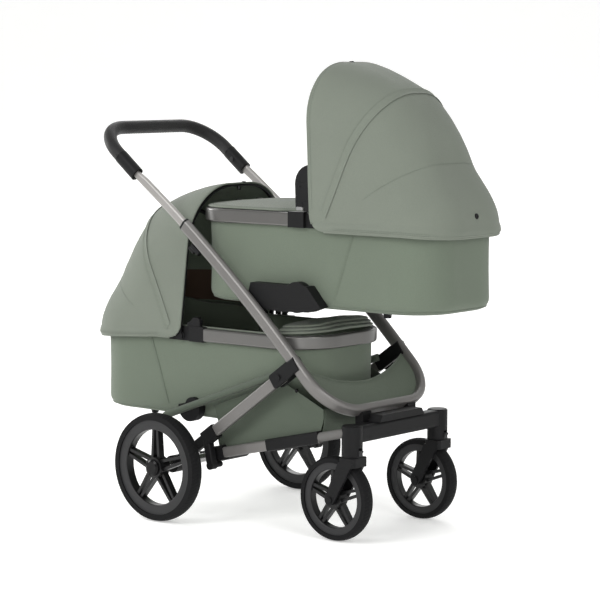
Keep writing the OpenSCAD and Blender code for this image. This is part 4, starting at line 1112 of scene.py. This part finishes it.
class PRAM_OT_bedding(bpy.types.Operator):
    """Builds the aprons and mattresses as stuffed pieces"""

    bl_idname = "pram.bedding"
    bl_label = "Aprons and mattresses"
    seat = 0.0006  # gap between a cot's rim and its apron
    # Inset and height of the loops of a mattress
    stack = ((0.014, 0.0), (0.006, 0.002), (0.0, 0.012), (0.0, 0.02))
    stack += ((0.005, 0.028), (0.02, 0.032), (0.05, 0.035), (0.1, 0.037))
    # Share of a folded layer's plan, and share of its thickness below
    fold = ((0.3, 0.0), (0.8, 0.0), (0.955, 0.0), (0.988, 0.18), (1.0, 0.5))
    fold += ((0.988, 0.82), (0.955, 1.0), (0.8, 1.04), (0.55, 1.06), (0.3, 1.06))
    # Inset, front, back and thickness of the folded layers
    layers = ((-0.004, -0.289, None, 0.0074),)
    layers += ((0.002, -0.2905, -0.384, 0.0072), (0.009, -0.2945, -0.372, 0.0068))

    def execute(self, context):
        size = context.scene.pram_sizes
        for cot in COTS:
            self.mattress(cot, size)
            if cot.turned:
                self.folded_apron(cot)
            else:
                self.apron(cot, size)
        return {"FINISHED"}

    def mattress(self, cot, size):
        gap, low, waist = cot.wall + 0.012, cot.wall + 0.004, 0.003
        rows = []
        for inset, rise in self.stack:
            row = cot.loop(gap + inset, low + rise, 160)
            row[:, 1] -= np.sign(row[:, 1]) * (waist * np.cos(np.pi * row[:, 0] / cot.length))
            rows.append(cot.world(row))
        stock = Stock()
        stock.pad(rows)
        made = stock.piece(cot.name + "_mattress_pad", finishes("cream_cover"))
        plump(made, 0.006, 3.0, size.swell)
        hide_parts(cot.name + "_mattress")
        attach(made, cot.name + "_cot")

    def outline(self, cot):
        """Apron outline: round the foot end, narrower between the hinge blocks."""
        lap, end, head = 0.004, -0.085, 0.024
        neck, wide = cot.width / 2 - 0.010, cot.width / 2 + lap
        foot = [tuple(p) for p in cot.plan(-lap, 240) if p[0] < end]
        foot.sort(key=lambda p: math.atan2(p[1], p[0] + 0.12) % (2 * math.pi))
        for u in (-0.065, -0.054):
            v = wide - (u - end) / 0.031 * 0.014
            foot.insert(0, (u, v))
            foot.append((u, -v))
        sides = [(u, neck) for u in np.linspace(-0.04, head - 0.012, 4)]
        across = np.linspace(neck - 0.03, -neck + 0.03, 24)
        front = [(head, neck - 0.012)]
        front += [(head + 0.004 * math.cos(6 * v), v) for v in across]
        front += [(head, -neck + 0.012)]
        return np.array(foot + [(u, -v) for u, v in sides] + front[::-1] + sides[::-1])

    def apron(self, cot, size):
        edge = self.outline(cot)
        middle = np.array([-0.19, 0.0])
        bottom, sewn, crest = cot.top + self.seat, 0.955, 0.0135

        def ring(share, rise):
            flat = middle + (edge - middle) * share
            return cot.world(np.column_stack([flat, np.full(len(edge), bottom + rise)]))

        def crown(share):
            return crest * (1 - share**2.6)

        rows = [ring(s, 0.85 * crown(s)) for s in (0.3, 0.6, 0.85, 0.96)]
        rows += [ring(0.99, 0.0004), ring(1.0, 0.003)]
        rows += [ring(s, 0.0058 + crown(s)) for s in (0.985, 0.94, 0.85, 0.7, 0.5, 0.3)]
        stock = Stock()
        stock.pad(rows)
        made = stock.piece(cot.name + "_apron_pad", finishes("sage_cloth"))
        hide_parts(cot.name + "_apron")
        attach(made, cot.name + "_cot")
        trim = Stock()
        trim.tube(ring(1.0, 0.003), size.piping, 8, 0, closed=True)
        line = ring(sewn, 0.0061 + crown(sewn))
        up = np.tile((0.0, 0.0, 1.0), (len(edge) + 1, 1))
        trim.stitches(np.vstack([line, line[:1]]), up, size.stitch, finish=1)
        made = trim.piece(cot.name + "_apron_piping", finishes("sage_cloth", "thread"))
        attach(made, cot.name + "_cot")

    def folded_apron(self, cot):
        """Apron folded back over the foot end in three layers with rolled front edges."""
        stock = Stock()
        level = cot.top + self.seat
        middle = np.array([-0.335, 0.0])
        for inset, front, back, thick in self.layers:
            loop = cot.plan(inset, 360)
            edge = [tuple(p) for p in loop if p[0] < front - 0.004 and (back is None or p[0] > back)]
            if back is not None:
                half = min(abs(p[1]) for p in edge) - 0.01
                edge += [(back + 0.003 * math.sin(40 * v), v) for v in np.linspace(-half, half, 24)]
            reach = max(abs(p[1]) for p in edge) - 0.003
            for v in np.linspace(-reach, reach, 60):
                edge.append((front + 0.0022 * ripple((v, thick * 40, inset * 90), 0.05, 2.7), v))
            edge.sort(key=lambda p: math.atan2((p[1] - middle[1]) * 0.3, p[0] - middle[0]))
            edge = np.array(edge)
            rows = []
            for share, rise in self.fold:
                flat = middle + (edge - middle) * share
                crown = 0.009 * (1 - np.clip(np.abs(flat[:, 1]) / 0.18, 0, 1) ** 2)
                waves = [0.0012 * ripple((u, v, level * 50), 0.045, 6.0) for u, v in flat]
                height = level + crown + thick * rise + np.array(waves) * min(rise, 1.0)
                rows.append(cot.world(np.column_stack([flat, height])))
            stock.pad(rows)
            level += thick + 0.0005
        made = stock.piece(cot.name + "_apron_pad", finishes("sage_cloth"))
        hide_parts(cot.name + "_apron")
        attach(made, cot.name + "_cot")


class PRAM_OT_basket(bpy.types.Operator):
    """Builds the shopping basket that hangs from the rails, with its hems and seams"""

    bl_idname = "pram.basket"
    bl_label = "Basket"
    half = 0.1832
    thick = 0.0016
    corner = 0.016
    knee, front_top = 0.122, 0.334  # where the hem leaves the rails, and its height in front
    climb, tail, under = math.radians(20.19), 0.010, 0.0185  # rails' slope, ends and gap to the hem
    floor_slope = 0.2317
    rear_in, front_in = 0.02, 0.010  # how far the floor stops short of the hem
    side_steps = 26

    def execute(self, context):
        size = context.scene.pram_sizes
        self.low, self.high = span("basket")
        rail_low, _ = span("basket_rails")
        self.rail_start = np.array([rail_low[0] + self.tail, rail_low[2] + self.tail])
        rows = self.cloth()
        stock = Stock()
        stock.sheet(rows + outward(rows) * self.thick, rows, 0, 1)
        area = cloth_area(rows)
        skin = np.array([self.thick, 0.0, 0.0])
        for row, height, lean in ((rows[-1], 1.0, 0.004), (rows[0], 0.42, -0.003)):
            wall = self.wall(row, height, lean)
            if lean > 0:
                stock.sheet(wall, wall - skin, 0, 1)
            else:
                stock.sheet(wall + skin, wall, 1, 0)
            area += cloth_area(wall)
        self.seams(stock, rows, size)
        # The basket's cloth and lining carry painted shade.
        made = stock.piece("basket_cloth", finishes("basket_cloth", "basket_lining", "thread"))
        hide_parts("basket")
        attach(made, "chassis")
        return {"FINISHED"}

    def floor(self, x):
        return self.low[2] + self.thick + self.floor_slope * (x - self.low[0] - self.rear_in)

    def rail(self, x):
        """Height of the hem under the rails."""
        return self.rail_start[1] + (x - self.rail_start[0]) * math.tan(self.climb) - self.under

    def top(self, x):
        if x < self.knee:
            return self.rail(x)
        knee = self.rail(self.knee)
        return knee + (self.front_top - knee) * (x - self.knee) / (self.high[0] - self.knee)

    def cloth(self):
        """Rows from one rail down the side, across the floor and up to the other rail."""
        rear, front = self.low[0] + self.rear_in, self.high[0] - self.front_in
        r = self.corner
        rows = []
        for share in np.linspace(0, 1, 56):
            foot = rear + (front - rear) * share
            head = self.low[0] + (self.high[0] - self.low[0]) * share
            top, base = self.top(head), self.floor(foot)
            pull = 0.55 + 0.45 * math.sin(7.5 * share + 0.6)
            sides = []
            for side in (-1, 1):
                line = []
                for t in np.linspace(0, 1, self.side_steps):
                    x = head + (foot - head) * t
                    z = top + (base + r - top) * t
                    bow = math.sin(math.pi * t)
                    draw = 0.006 * bow**1.5 * pull
                    slack = 0.0016 * ripple((x * 1.4, side * 0.2, z), 0.05, 3.1) * bow
                    hem = 0.0055 * max(0.0, 1 - t / 0.05) if head < self.knee else 0.0
                    line.append((x, side * (self.half - draw + min(slack, 0.0) + hem), z))
                for a in np.linspace(0, math.pi / 2, 7)[1:]:
                    y = self.half - r * (1 - math.cos(a))
                    line.append((foot, side * y, base + r * (1 - math.sin(a))))
                sides.append(line)
            across = []
            for y in np.linspace(-self.half + 0.024, self.half - 0.024, 22):
                across.append((foot, y, base + 0.0007 * (1 + ripple((foot, y, 0.0), 0.05, 2.0))))
            rows.append(sides[0] + across + sides[1][::-1])
        return np.array(rows)

    def wall(self, row, height, lean):
        """End wall that follows an end row of the cloth, up to a share of its height."""
        count, inset = 30, 0.004
        ys = np.linspace(row[:, 1].min() + inset, row[:, 1].max() - inset, count)
        middle = row[self.side_steps : -self.side_steps]
        order = np.argsort(middle[:, 1])
        base = np.interp(ys, middle[order, 1], middle[order, 2])
        foot = row[len(row) // 2, 0]
        rise = (row[0, 2] - base.min()) * height
        rows = []
        for t in np.linspace(0, 1, 14):
            z = base + (base.min() + rise - 0.004 * np.cos(np.pi * ys / 0.37) - base) * t
            x = foot + (row[0, 0] - foot) * height * t + lean * math.sin(math.pi * t)
            rows.append(np.column_stack([np.full(count, x), ys, z]))
        return np.array(rows)

    def seams(self, stock, rows, size):
        """Stitched hems under the rails, a seam near the front corner and one on the floor's edge."""
        for side, half in ((-1, rows), (1, rows[:, ::-1])):
            out = np.array([0.0, side * 1.0, 0.0])
            lines = [half[:, k] for k in (3, 4)]
            lines += [half[r, 2:24] if side < 0 else half[r, 2:24][::-1] for r in (-4, -3)]
            for line in lines:
                line = line + out * 0.0003
                stock.stitches(line, np.tile(out, (len(line), 1)), size.stitch, finish=2)
            stock.tube(half[:, self.side_steps] + out * 0.0004, 0.0014, 6, 0)


class PRAM_OT_sling(bpy.types.Operator):
    """Builds the cloth sling in the frame's front loop"""

    bl_idname = "pram.sling"
    bl_label = "Front sling"

    def execute(self, context):
        size = context.scene.pram_sizes
        slope = math.radians(45.65)
        ahead = np.array([math.cos(slope), 0.0, -math.sin(slope)])
        up = np.array([math.sin(slope), 0.0, math.cos(slope)])
        half, inner, wide, reach = 0.2086, 0.1066, 0.43, 0.118
        start = np.array([0.317, 0.0, 0.329]) - ahead * reach

        def point(f, v, lift=0.0):
            over = max(0.0, abs(v) - (half - inner))
            edge = math.sqrt(max(0.0, inner**2 - over**2))
            top = 0.026 - 0.058 * (v / half) ** 2
            s = top + (edge - top) * f
            sag = -0.017 * math.sin(math.radians(45 + 90 * f)) * (1 - (v / half) ** 2)
            crease = 0.0009 * ripple((s, v, 0.0), 0.04, 5.0) * (1 - abs(v / half))
            return start + ahead * s + np.array([0.0, v, 0.0]) + up * (sag + crease + lift)

        across = half * 0.9985 * np.sin(np.linspace(-math.pi / 2, math.pi / 2, 72))
        rows, under = [
            np.array([[point(f, v, lift) for v in across] for f in np.linspace(0, 1, 26)])
            for lift in (0.0, -0.0028)
        ]
        stock = Stock()
        stock.sheet(under, rows, 1, 0)
        for f in (0.06, 0.1):
            line = np.array([point(f, v, 0.0002) for v in across])
            stock.stitches(line, np.tile(up, (len(line), 1)), size.stitch, finish=2)
        # The sling wears painted shade: a darker copy of the cot cloth on top, the shaded basket lining under it.
        made = stock.piece("front_sling", finishes("sling_cloth", "basket_lining", "thread"))
        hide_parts("front_panel")
        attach(made, "chassis")
        area = cloth_area(rows)
        trim = Stock()
        trim.tube(rows[0], size.piping * 0.9, 8)
        edge = trim.piece("front_sling_piping", finishes("sling_cloth"))
        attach(edge, "chassis")
        return {"FINISHED"}


class PRAM_OT_fittings(bpy.types.Operator):
    """Adds press studs, the hoods' release covers and latches, and the grip's sewn seam"""

    bl_idname = "pram.fittings"
    bl_label = "Studs, covers and grip seam"

    def execute(self, context):
        size = context.scene.pram_sizes
        for cot in COTS:
            self.studs(cot, size)
            self.release(cot)
        self.snaps()
        self.grip(size)
        return {"FINISHED"}

    def stud(self, stock, centre, normal, radius):
        profile = [(radius, -0.001), (radius, 0.0012), (radius * 0.82, 0.0024)]
        profile += [(radius * 0.5, 0.0026), (radius * 0.42, 0.0018), (0.0, 0.0018)]
        stock.lathe(profile, centre, normal, 20)

    def studs(self, cot, size):
        """Studs on the hood's edge, its back and the apron, and the hook under the hood's edge."""
        count, sewn, up = 121, 0.0004, (0.0, 0.0, 1.0)
        middle = count // 2
        lead = Stock()
        row = cot.world(cot.edge_row(0.2, count, sewn))
        self.stud(lead, row[middle - 2], up, size.snap)
        hook = rounded(-0.006, 0.006, -0.016, 0.0, 0.003)
        inside = cot.edge_row(0.6, count, -0.0036)[middle]
        hook = inside + np.column_stack([np.zeros(len(hook)), hook])
        ends = [cot.world(hook + np.array([run, 0.0, 0.0])) for run in (0.0, 0.004)]
        start = len(lead.points)
        lead.grid(ends, 0, around=True)
        lead.shut(start, len(hook))
        made = lead.piece(cot.name + "_hood_studs", finishes("black_gloss"))
        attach(made, cot.name + "_hood_lead")
        fixed = Stock()
        back = cot.cloth_row(4.0, count, sewn)[middle]
        self.stud(fixed, cot.world(back), cot.turn((1.0, 0.0, 0.12)), 0.0075)
        if not cot.turned:
            for side in (-1, 1):
                spot = (-0.341, side * 0.041, cot.top + 0.0142)
                self.stud(fixed, cot.world(spot), up, 0.009)
        made = fixed.piece(cot.name + "_cot_studs", finishes("black_gloss"))
        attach(made, cot.name + "_cot")

    def release(self, cot):
        """Cover, screw, slot and tongue of the hood's release arm, and the other side's latch."""
        a = math.radians(cot.lead - COTS[0].lead)
        face = -0.1902

        def on_arm(points):
            """Turns a place drawn on the upper cot's arm to this cot's lead angle."""
            points = np.asarray(points, float)
            du, dw = points[..., 0] - cot.pivot[0], points[..., 2] - cot.pivot[1]
            u = cot.pivot[0] + du * math.cos(a) - dw * math.sin(a)
            w = cot.pivot[1] + du * math.sin(a) + dw * math.cos(a)
            return cot.world(np.stack([u, points[..., 1], w], axis=-1))

        stock = Stock()
        # Left, right, low, high and corner of a plate; how far it is sunk and proud; its finish
        for outline, sunk, proud, finish in (
            ((-0.0140, 0.0270, 0.278, 0.324, 0.003), 0.001, 0.0011, 0),
            ((-0.0140, 0.0060, 0.2635, 0.2715, 0.002), 0.001, 0.0011, 0),
            ((0.0080, 0.0270, 0.249, 0.275, 0.002), 0.004, 0.0002, 0),
            ((-0.0155, 0.0050, 0.2515, 0.2612, 0.002), 0.003, 0.0004, 1),
        ):
            stock.plate(rounded(*outline), face + sunk, face - proud, on_arm, finish)
        screw = [(0.0034, -0.001), (0.0034, 0.0006), (0.0026, 0.0013)]
        screw += [(0.0014, 0.0013), (0.0012, 0.0007), (0.0, 0.0007)]
        centre = on_arm(np.array([-0.003, face - 0.001, 0.312]))
        stock.lathe(screw, centre, cot.turn((0.0, -1.0, 0.0)), 18)
        made = stock.piece(cot.name + "_release_cover", finishes("black_moulded", "steel"), True)
        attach(made, cot.name + "_hood_lead")
        latch = Stock()
        shape = [(-0.029, 0.246), (0.017, 0.246), (0.017, 0.258), (0.008, 0.2595), (0.002, 0.264)]
        shape += [(-0.003, 0.2705), (-0.010, 0.273), (-0.022, 0.2725)]
        shape += [(-0.0275, 0.269), (-0.029, 0.262)]
        latch.plate(shape, 0.177, 0.1885, cot.world, 0, 0.0015)
        made = latch.piece(cot.name + "_block_latch", finishes("black_moulded"), True)
        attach(made, cot.name + "_cot")

    def snaps(self):
        """Studs that hold the basket's front corners up beside the frame."""
        x, y, z = 0.1716, 0.1834, 0.3742
        stock = Stock()
        for side in (-1, 1):
            self.stud(stock, (x, side * y, z), (0.0, side, 0.0), 0.0052)
        made = stock.piece("basket_snaps", finishes("black_gloss"))
        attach(made, "chassis")

    def grip(self, size):
        """Sewn seam along the inner side of the push grip."""
        low, high = span("handle_grip")
        slope, inset = math.radians(38.5), 0.018
        ahead = np.array([-math.cos(slope), 0.0, math.sin(slope)])
        up = np.array([math.sin(slope), 0.0, math.cos(slope)])
        reach, half, corner, radius = 0.168, 0.22, 0.104, 0.0181
        start = np.array([low[0] + inset, 0.0, high[2] - inset]) - ahead * reach
        path, normals = [], []
        for side in (-1, 1):
            part, facing = [], []
            for s in np.linspace(0.05, reach - corner, 8):
                part.append(start + ahead * s + np.array([0, side * half, 0]))
                facing.append(np.array([0, -side, 0.0]))
            centre = start + ahead * (reach - corner) + np.array([0, side * (half - corner), 0])
            for a in np.linspace(0, math.pi / 2, 20)[1:]:
                out = np.array([0, side * math.cos(a), 0]) + ahead * math.sin(a)
                part.append(centre + out * corner)
                facing.append(-out)
            path.append(part)
            normals.append(facing)
        mixed = np.array(normals[0] + normals[1][::-1]) * 0.75 - up * 0.66
        seam = np.array(path[0] + path[1][::-1]) + mixed * radius
        across = unit(np.cross(np.gradient(seam, axis=0), mixed))
        stock = Stock()
        for shift in (-0.0022, 0.0022):
            stock.stitches(seam + across * shift, mixed, size.stitch * 1.2)
        stock.tube(seam - mixed * 0.0004, 0.0006, 6)
        made = stock.piece("grip_seam", finishes("grip_leather"))
        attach(made, "handle")


class PRAM_OT_studio(bpy.types.Operator):
    """Sets up the floor, the light and the camera"""

    bl_idname = "pram.studio"
    bl_label = "Studio"
    azimuth, elevation = math.radians(39.8), math.radians(6.0)
    distance, target, field = 5.9038, (0.030, 0.0, 0.5852), math.radians(15.47)
    glow = 0.38  # of the floor and the world
    # Name, place, width, power and aim of each lamp
    lamps = (
        ("key", (-0.6, -4.2, 3.0), 2.4, 142.0, (0.0, 0.0, 0.6)),
        ("fill", (4.8, -1.6, 2.4), 2.2, 95.0, (0.1, 0.0, 0.6)),
        ("top", (0.2, 0.2, 4.4), 3.0, 30.0, (0.0, 0.0, 0.5)),
        ("back", (-2.6, 3.0, 2.6), 2.0, 45.0, (0.0, 0.0, 0.6)),
        ("mouth", (-3.4, -0.5, 1.5), 1.4, 40.0, (0.1, 0.1, 0.9)),
        ("front", (3.3, -4.0, 1.0), 1.2, 26.0, (-0.1, 0.0, 0.6)),
    )

    def execute(self, context):
        scene = context.scene
        self.floor(tuple(scene.pram_colours.floor))
        world = scene.world or bpy.data.worlds.new("studio")
        scene.world = world
        world.use_nodes = True
        background = next(n for n in world.node_tree.nodes if n.type == "BACKGROUND")
        background.inputs[0].default_value = (1.0, 1.0, 1.0, 1.0)
        background.inputs[1].default_value = self.glow
        for name, place, width, power, aim in self.lamps:
            data = bpy.data.lights.new(name, "AREA")
            data.size = width
            data.energy = power
            lamp = bpy.data.objects.new(name, data)
            lamp.location = place
            facing = Vector(aim) - Vector(place)
            lamp.rotation_euler = facing.to_track_quat("-Z", "Y").to_euler()
            scene.collection.objects.link(lamp)
        across, rise = math.cos(self.elevation), math.sin(self.elevation)
        back = Vector((math.sin(self.azimuth) * across, -math.cos(self.azimuth) * across, rise))
        data = bpy.data.cameras.new("camera")
        data.sensor_width = 36.0
        data.lens = data.sensor_width / 2 / math.tan(self.field / 2)
        camera = bpy.data.objects.new("camera", data)
        camera.location = Vector(self.target) + back * self.distance
        camera.rotation_euler = (-back).to_track_quat("-Z", "Y").to_euler()
        scene.collection.objects.link(camera)
        scene.camera = camera
        scene.view_settings.view_transform = "Standard"
        return {"FINISHED"}

    def floor(self, tone):
        """Floor that sweeps up behind the pram; from its back it is clear, so no view is hidden."""
        finish = Finish("studio_floor")
        cloud = finish.grain(finish.place(), 1.5, 2.0)
        finish.wear(
            Base_Color=finish.mix(cloud, darker(tone, 0.985), tone),
            Roughness=0.9,
            Specular_IOR_Level=0.1,
            Emission_Color=tone,
            Emission_Strength=self.glow,
            Alpha=1 - finish.node("ShaderNodeNewGeometry", out="Backfacing"),
        )
        end, near, start, r, sunk = 70.0, 16.0, 1.6, 6.0, 0.0005
        sweep = [(-end, 0.0), (-14.0, 0.0), (start, 0.0)]
        for a in np.linspace(0, math.pi / 2, 25)[1:]:
            sweep.append((start + r * math.sin(a), r * (1 - math.cos(a))))
        sweep.append((start + r, 12.0))
        away = np.array([-math.sin(self.azimuth), math.cos(self.azimuth), 0.0])
        side = np.array([away[1], -away[0], 0.0])
        rows = []
        for run, rise in sweep:
            spot = away * run + np.array([0.0, 0.0, rise - sunk])
            rows.append([spot + side * s for s in (-end, -near, near, end)])
        stock = Stock()
        stock.grid(rows)
        stock.piece("studio_floor", [finish.material])


STEPS = (
    PRAM_OT_studio,
    PRAM_OT_finishes,
    PRAM_OT_hoods,
    PRAM_OT_cot_bodies,
    PRAM_OT_bedding,
    PRAM_OT_basket,
    PRAM_OT_sling,
    PRAM_OT_fittings,
)


class PRAM_PT_panel(bpy.types.Panel):
    """Lists the steps of the dressing"""

    bl_idname = "PRAM_PT_panel"
    bl_label = "Twin pram"
    bl_space_type = "VIEW_3D"
    bl_region_type = "UI"
    bl_category = "Pram"

    def draw(self, context):
        for group in (context.scene.pram_sizes, context.scene.pram_colours):
            for key in group.__annotations__:
                self.layout.prop(group, key)
        for step in STEPS:
            self.layout.operator(step.bl_idname)


CLASSES = (PramSizes, PramColours) + STEPS + (PRAM_PT_panel,)


def register():
    for cls in CLASSES:
        bpy.utils.register_class(cls)
    bpy.types.Scene.pram_sizes = PointerProperty(type=PramSizes)
    bpy.types.Scene.pram_colours = PointerProperty(type=PramColours)


def unregister():
    del bpy.types.Scene.pram_colours
    del bpy.types.Scene.pram_sizes
    for cls in reversed(CLASSES):
        bpy.utils.unregister_class(cls)


def main():
    register()
    for step in STEPS:
        group, name = step.bl_idname.split(".")
        getattr(getattr(bpy.ops, group), name)()


if __name__ == "__main__":
    main()
